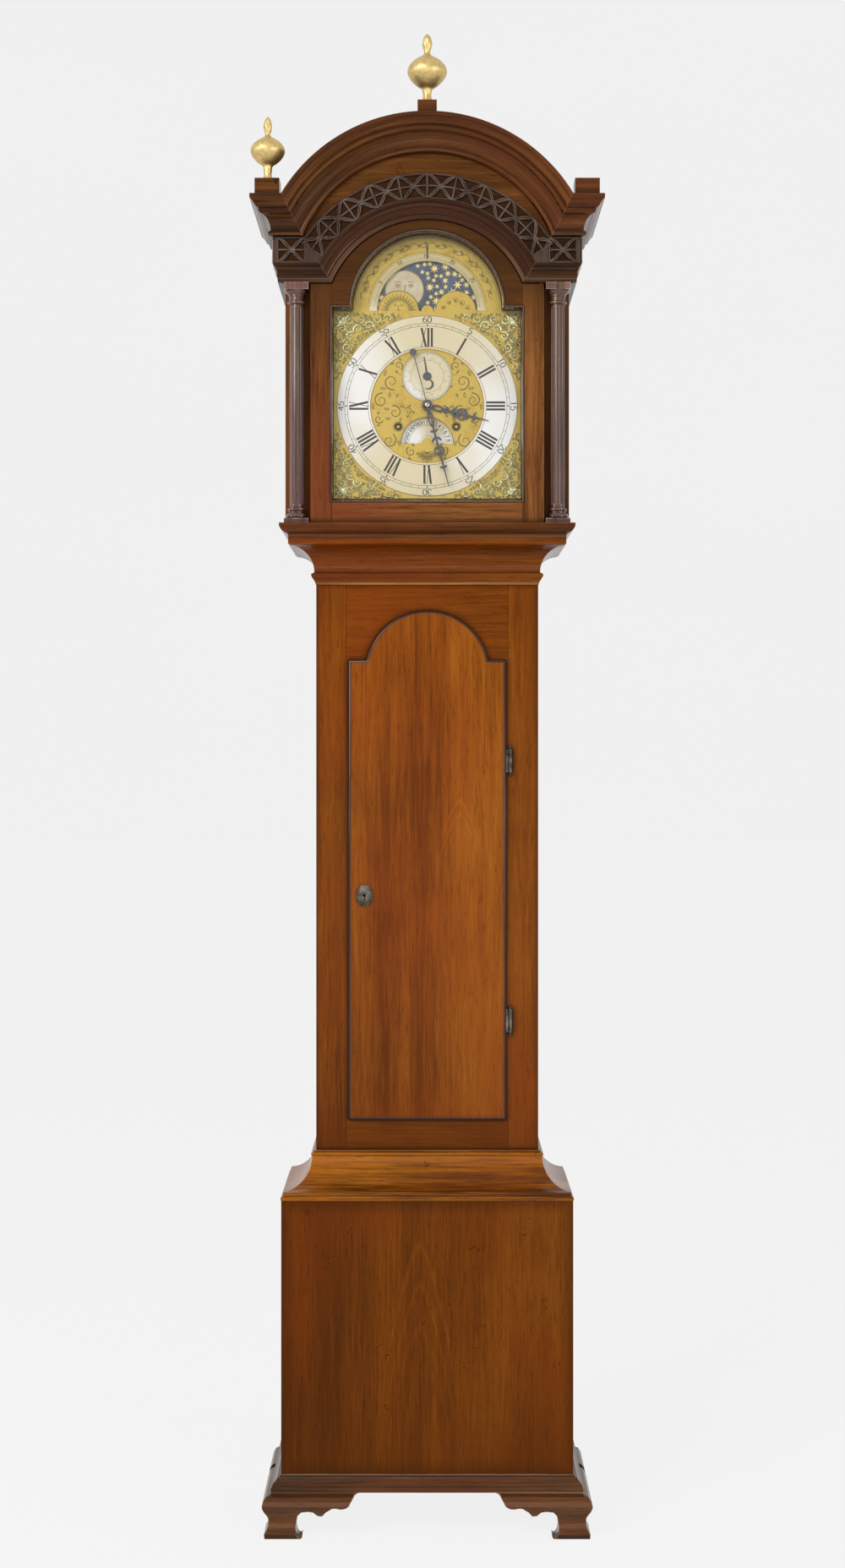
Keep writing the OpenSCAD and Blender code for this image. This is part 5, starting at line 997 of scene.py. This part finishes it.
centre_lines = []
for x, z, size, start, turns, hand in (
        (0.057, 1.836, 0.0135, 250, 1.4, 1), (0.074, 1.806, 0.0125, 100, 1.5, -1),
        (0.052, 1.787, 0.0115, 70, 1.3, 1), (0.036, 1.817, 0.0095, 300, 1.3, -1),
        (0.061, 1.741, 0.0125, 120, 1.4, 1), (0.026, 1.724, 0.0085, 60, 1.3, -1),
        (0.078, 1.776, 0.0075, 200, 1.2, 1), (0.046, 1.862, 0.008, 240, 1.2, -1),
        (0.03, 1.789, 0.0065, 30, 1.2, 1)):
    path = scroll_path(x, z, size, start, turns, hand)
    centre_lines.append((path, np.linspace(0.001, 0.0004, len(path))))
    for degrees in (start + 60, start + 150, start + 235):
        tip = out_from(x, z, 1.02 * size, degrees)
        leaves = leaf_paths(*tip, 0.75 * size, degrees + 35 * hand, 0.9 * hand)
        centre_lines += [(leaf, 0.0004) for leaf in leaves]
for degrees in (210, 240, 270, 300, 330):
    centre_lines += [(leaf, 0.0004) for leaf in leaf_paths(0.0, 1.7235, 0.016, degrees, 0.2)]
centre_ring = 0.0905
brass_ink = rings(dial_at, (centre_ring,), 0.0003, dial_face)
for path, half in centre_lines:
    inside = np.hypot(*(path - dial_at).T).max() < centre_ring
    off_strike = np.hypot(*(path - strike_at).T).min() > 0.0402
    if inside and off_strike:
        brass_ink += [inked(path, half, dial_face), inked(path * (-1, 1), half, dial_face)]
brass_ink += rings(date_at, (0.0425,), 0.0005, dial_face, 90)
brass_ink += rings(strike_at, (0.0399,), 0.0004, dial_face)
brass_ink += rings(moon_at, (0.0955, 0.1175), 0.00035, dial_face, 82, 73)
for side in (-1, 1):
    brass_ink += rings((side * winding_x, winding_z), (0.0068, 0.0078), 0.00035, dial_face, fine=41)
vine_radius = 0.1065
vine_turn = np.radians(np.linspace(-80, 80, 241))
wavy_radius = vine_radius + 0.0042 * np.sin(vine_turn * 22.5)
vine = np.column_stack([wavy_radius * np.sin(vine_turn), moon_at[1] + wavy_radius * np.cos(vine_turn)])
brass_ink.append(inked(vine, 0.0005, dial_face))
for step in range(19):
    side = 1 if step % 2 else -1
    degrees = 162.0 - 8.0 * step
    foot = out_from(*moon_at, vine_radius + side * 0.0015, degrees)
    aim = degrees + side * 55
    brass_ink += [inked(leaf, 0.0004, dial_face) for leaf in leaf_paths(*foot, 0.0072, aim, 0.8 * side)]
    brass_ink.append(inked(scroll_path(*foot, 0.0032, aim + 180, 1.1, -side, 16), 0.00045, dial_face))

sun_at = (-0.046, moon_at[1])
scrolls_at = (0.046, moon_at[1])
for step in range(27):
    tall, broad = (0.0075, 0.0007) if step % 2 else (0.0115, 0.0011)
    taper = np.linspace(broad, 0.0003, 6)
    brass_ink.append(tick(tall, sun_at, 0.0178, 6.5 * step - 84.5, taper, dial_face))
brass_ink += rings(sun_at, (0.0163,), 0.0004, dial_face, 88, 41)
for hump in (sun_at, scrolls_at):
    brass_ink += rings(hump, (0.0323,), 0.00055, dial_face, 86, 61)
brass_ink += features(sun_at, ((0.0055, 0.0077, 0.0026, 0.0012, 20, 160, 0.0005),
                               (0.0057, 0.0097, 0.0034, 0.0016, 35, 145, 0.00035),
                               (0, 0.0029, 0.003, 0.0011, 200, 340, 0.0005)), dial_face)
sun_nose = straight((-0.046, 1.9585), (-0.0469, 1.9536), (-0.0453, 1.9534))
brass_ink.append(inked(sun_nose, 0.0004, dial_face))
for step in range(5):
    x = scrolls_at[0] + (step - 2) * 0.0105
    z = scrolls_at[1] + 0.006 + 0.0115 * math.cos((step - 2) * 0.75)
    curl = scroll_path(x, z, 0.0046, 40 + 70 * step, 1.3, 1 if step % 2 else -1, 20)
    brass_ink.append(inked(curl, 0.0004, dial_face))
    leaves = leaf_paths(x, z - 0.004, 0.006, 60 + 20 * step, 0.6)
    brass_ink += [inked(leaf, 0.00035, dial_face) for leaf in leaves]
made_of("plate_engraving", brass_ink, old_engraving, "case")


# The spandrels
# Cast brass corner pieces of scrolls and leaves, chased and gilded, each held by one screw from
# behind. They stand about three millimetres off the plate.

# The relief's gilding has painted shade in the hollows between its strokes.
gilt_casting = gilding("gilt_casting", (1.0, 0.95, 0.55), (0.6, 0.5, 0.22), 0.68, 0.18, 0.6, 0.6, 0.45)
casting_ground = gilding("casting_ground", (0.3, 0.23, 0.07), (0.16, 0.12, 0.035), 0.6, 0.4, 0.5)
ring_edge = 0.1463
corner_reach = 0.1505


def corner_circles():
    """Circles packed in half a corner for the scrolls, largest first: u runs along the dial's
    foot and v up its side from the corner, with v less than u."""
    dice = np.random.default_rng(5)
    found = []
    for size, tries in ((0.0098, 300), (0.0078, 500), (0.006, 900), (0.0046, 1800), (0.0034, 4000),
                        (0.0025, 7000), (0.0019, 9000)):
        for u, v in dice.uniform((0.002, 0.002), (0.108, 0.07), (tries, 2)):
            beside_ring = math.hypot(corner_reach - u, corner_reach - v) > ring_edge + size
            inside = min(u, v) > size + 0.0008 and u - v > 1.1 * size
            apart = all(math.dist((u, v), (a, b)) > 0.92 * (size + r) for a, b, r in found)
            if beside_ring and inside and apart:
                found.append((u, v, size))
    return found


def corner_strokes():
    """One spandrel's strokes: a scroll with two leaves in each circle, drawn on both sides of the
    diagonal, and a shell with a boss in the corner itself. Each is (path, half width, height)."""
    strokes = []
    for step, (u, v, size) in enumerate(corner_circles()):
        start = math.degrees(math.atan2(v, u)) + 110.0 * step
        hand = 1 if step % 2 else -1
        path = scroll_path(u, v, 0.86 * size, start, 1.25, hand, 24)
        stand = 0.003 + 0.22 * size
        strokes.append((path, 0.24 * size * np.linspace(1.0, 0.6, len(path)), stand))
        for aim in (start + 70.0, start + 190.0):
            leaf = leaf_paths(*out_from(u, v, 0.5 * size, aim), 0.9 * size, aim + 50 * hand, hand)[2]
            strokes.append(swollen(leaf, 0.2, 0.1, (0.0, 0.2 * size), (0.6 * stand, 0.5 * stand)))
    both = [(path[:, ::order], half, stand) for path, half, stand in strokes for order in (1, -1)]
    for step in range(9):
        out = np.linspace(0.001, 0.0105 - 0.0004 * abs(step - 4), 7)
        petal = np.column_stack(out_from(0.0125, 0.0125, out, 22 * step - 43))
        both.append((petal, 0.0019 * np.sin(np.linspace(0.5, 2.7, 7)), 0.0036))
    both.append((bow_path(0.0105, 0.0105, 0.0034, 0.0034, 0, 360, 17), 0.0017, 0.0042))
    return both


spandrel_shapes = []
for path, half, stand in corner_strokes():
    for side in (-1, 1):
        for level in (-1, 1):
            out = (corner_reach - path) * (side, level)
            if np.hypot(*out.T).min() > ring_edge - 0.0006 and (out[:, 0] * side).max() > 0.04:
                spandrel_shapes.append(raised(out + dial_at, half, stand, dial_face + 0.0001, 7))
made_of("spandrel_relief", spandrel_shapes, gilt_casting, "case", 60.0)
dress(casting_ground, "spandrels")


# The date disc and the moon disc
# The date disc is silvered and engraved from 1 to 31. The moon disc is painted with a night sky,
# gilt stars and two full moons, and turns once in two lunations behind the arch.

dress(silvering("date_silver", (0.7, 0.7, 0.68), (0.58, 0.5, 0.34), date_at[1]), "date_disc")
date_face = -0.048
date_ink = rings(date_at, (0.0309, 0.0292, 0.0395, 0.013), 0.0002, date_face)
for day in range(1, 32):
    degrees = (day - 1) * 360.0 / 31
    date_ink += number_strokes(day, date_at, 0.0322, degrees, 0.0052, 0.0006, 0.00028, date_face)
    if day % 2 == 0:
        date_ink.append(tick(0.0014, date_at, 0.0295, degrees, 0.0002, date_face))
made_of("date_engraving", date_ink, engraver_wax, "date_disc")

night = Finish("night_sky")
sky_tone = tones(cloud(night.place, 26.0, 5.0, 0.65, 0.5), (0.3, (0.05, 0.055, 0.085)),
                 (0.52, (0.085, 0.1, 0.145)), (0.72, (0.12, 0.17, 0.22)))
crazing = cloud(night.place, 420.0, 3.0, 0.6)
dress(skinned(night, sky_tone, 0.46, 0.25, 0.0002, crazing, {"Specular IOR Level": 0.3}), "moon_disc")
star_gold = old_metal("star_gold", (0.78, 0.66, 0.26), (0.55, 0.42, 0.15), 0.36, 0.4, 300.0, 0.1, 0.6)
moon_paint = old_metal("moon_paint", (0.6, 0.55, 0.38), (0.52, 0.42, 0.24), 0.5, 0.5, 60.0, 0.2,
                       0.0, 0.15)
moon_shade = old_metal("moon_shade", (0.32, 0.2, 0.09), (0.26, 0.15, 0.07), 0.55, 0.5, 90.0, 0.1, 0.0)
moon_face = -0.048


def flat_shape(outline, face, thick):
    """A thin plate in front of a face, from its outline of (x, z) points."""
    rows = [np.insert(outline, 1, y, axis=1) for y in (face, face - thick)]
    return quads_of(np.stack(rows))


dice = np.random.default_rng(12)
star_shapes = []
placed = []
moons = [out_from(*moon_at, 0.051, degrees) for degrees in (136.0, 316.0)]
while len(placed) < 92:
    radius = 0.079 * math.sqrt(dice.uniform(0.03, 1.0))
    turn = dice.uniform(0, math.tau)
    spot = (radius * math.cos(turn), moon_at[1] + radius * math.sin(turn))
    size = dice.choice([0.0045, 0.006, 0.0078, 0.0098], p=[0.3, 0.35, 0.25, 0.1])
    near_moon = min(math.dist(spot, moon) for moon in moons) < 0.033 + size
    if near_moon or any(math.dist(spot, other) < 0.8 * (size + taken) for *other, taken in placed):
        continue
    placed.append((*spot, size))
    points = int(dice.choice([6, 8]))
    turns = dice.uniform(0, math.pi) + np.arange(2 * points) * math.pi / points
    reach = np.where(np.arange(2 * points) % 2, 0.36 * size, size)
    outline = np.column_stack([reach * np.cos(turns), reach * np.sin(turns)]) + spot
    star_shapes.append(flat_shape(outline, moon_face + 0.00005, 0.0002))
made_of("gilt_stars", star_shapes, star_gold, "moon_disc")
moon_discs = []
moon_lines = []
paint_face = moon_face - 0.0001
nose = eased([(0.0015, 0.0085), (0.0005, 0.0), (-0.0026, -0.005), (0.0012, -0.0062)], 6)
for middle in moons:
    rim = bow_path(*middle, 0.0315, 0.0315, 90, -264, 60)
    moon_discs.append(flat_shape(rim, moon_face + 0.00005, 0.00015))
    moon_lines += features(middle, ((0.0105, 0.006, 0.0042, 0.002, 15, 165, 0.0008),
                                    (0.0105, 0.0055, 0.0036, 0.0016, 200, 340, 0.0006),
                                    (0.0108, 0.0098, 0.0058, 0.0026, 30, 150, 0.0006),
                                    (0, -0.0118, 0.0062, 0.0022, 195, 345, 0.0008),
                                    (0, -0.0112, 0.0052, 0.0006, 190, 350, 0.0006),
                                    (0, -0.0155, 0.003, 0.001, 200, 340, 0.0005)), paint_face)
    for side in (-1, 1):
        pupil = np.add(middle, (side * 0.0105, 0.0064))
        moon_lines += rings(pupil, (0.0008,), 0.0006, paint_face, fine=13)
    moon_lines.append(inked(nose + middle, 0.0008, paint_face))
    moon_lines += rings(middle, (0.0308,), 0.0008, paint_face)
made_of("painted_moons", moon_discs, moon_paint, "moon_disc")
made_of("moon_features", moon_lines, moon_shade, "moon_disc")


# The hands
# Sawn and filed from steel plate, then blued over a flame, with a brass collet and a pin. A small
# blued pointer at the top of the arch shows the moon's age.

blued = old_metal("blued_steel", (0.1, 0.1, 0.12), (0.11, 0.095, 0.085), 0.3, 0.4, 60.0, 0.08)
hub_brass = old_metal("hub_brass", (0.42, 0.37, 0.27), (0.22, 0.18, 0.12), 0.25, 0.35, 120.0, 0.1)
dress(blued, "minute_hand", "hour_hand", "seconds_hand", "strike_silent_hand")
pointer = [(-0.0011, 2.0345), (0.0, 2.0325), (0.0011, 2.0345), (0.0011, 2.046), (0.0022, 2.0505),
           (0.0, 2.0555), (-0.0022, 2.0505), (-0.0011, 2.046)]
made_of("moon_pointer", [flat_shape(pointer, disc_face - 0.0001, 0.0009)], blued, "case")


def turned_front(profile, back):
    """A profile of (radius, height) turned about the dial's middle, its foot at Y back and its
    height towards the front."""
    points, faces = turned_up(profile)
    return np.column_stack([points[:, 0], back - points[:, 2], dial_at[1] + points[:, 1]]), faces


boss = [(0.0, 0.0), (0.0082, 0.0), (0.0086, 0.0005), (0.0082, 0.0012), (0.0068, 0.0016),
        (0.0062, 0.0013), (0.0, 0.0012)]
collet = [(0.0, 0.0), (0.0043, 0.0), (0.0044, 0.0006), (0.0038, 0.0014), (0.0025, 0.002), (0.0, 0.0023)]
made_of("hand_boss", [turned_front(boss, -0.0611)], blued, "minute_hand", 50.0)
made_of("hand_collet", [turned_front(collet, -0.0651)], hub_brass, "seconds_arbor",
        60.0)


# The movement
# Cast brass plates and wheels, turned, cut and scratch-brushed, with steel arbors and pinions.

clock_brass = old_metal("clock_brass", (0.62, 0.44, 0.17), (0.33, 0.21, 0.08), 0.34, 0.4, 45.0, 0.2)
bell_bronze = old_metal("bell_bronze", (0.42, 0.31, 0.17), (0.2, 0.14, 0.08), 0.4, 0.5, 35.0, 0.25)
work_steel = old_metal("work_steel", (0.4, 0.4, 0.41), (0.2, 0.17, 0.14), 0.32, 0.45, 60.0, 0.2)
dress(clock_brass, "movement_plates", "going_great_wheel", "intermediate_wheel", "third_wheel",
      "escape_wheel", "motion_driver", "minute_wheel", "strike_great_wheel", "pin_wheel",
      "gathering_wheel", "warning_wheel", "fly", "going_barrel", "strike_barrel")
dress(bell_bronze, "bell")
dress(work_steel, "anchor", "hammer")


# The pendulum and the weights
# A flat steel rod with a lenticular bob cased in brass, and two lead-filled brass weights, each
# hung from a pulley in its loop of gut.

dress(work_steel, "pendulum_rod")
dress(clock_brass, "pendulum_bob", "going_weight", "strike_weight")


# The gut lines
# Each line is twisted gut, made fast on its barrel, led down round the weight's pulley and back up
# to the seatboard. The real falls shorten as the weight is wound up; here each fall is drawn at one
# length and hung on its weight's body.

gut = old_metal("gut", (0.42, 0.27, 0.11), (0.24, 0.14, 0.055), 0.42, 0.5, 200.0, 0.3, 0.0, 0.2)
line_radius = 0.0008
line_lay = 0.006
pulley_radius = 0.0258
fall_y = 0.015
fall_low = 0.5618
fall_high = 1.692


def twisted_fall(x):
    """A fall of a line at x. Its radius rises and falls three times round, and the ridges climb
    one turn in three lays."""
    height = np.linspace(fall_low, fall_high, 500)[:, None]
    turn = np.linspace(0, math.tau, 8, endpoint=False)[None, :]
    swell = line_radius * (0.93 + 0.07 * np.cos(3 * turn - math.tau * height / line_lay))
    return quads_of(np.stack([x + swell * np.cos(turn), fall_y + swell * np.sin(turn),
                              np.broadcast_to(height, swell.shape)], axis=-1))


for barrel_x, body, node, joint in ((winding_x, "going_weight", "going_line", "going_weight_lift"),
                                    (-winding_x, "strike_weight", "strike_line", "strike_weight_lift")):
    falls = [twisted_fall(barrel_x + off) for off in (-pulley_radius, pulley_radius)]
    fall = made_of(body + "_falls", falls, gut, body, 60.0)
    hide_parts(node)
    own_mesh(fall)
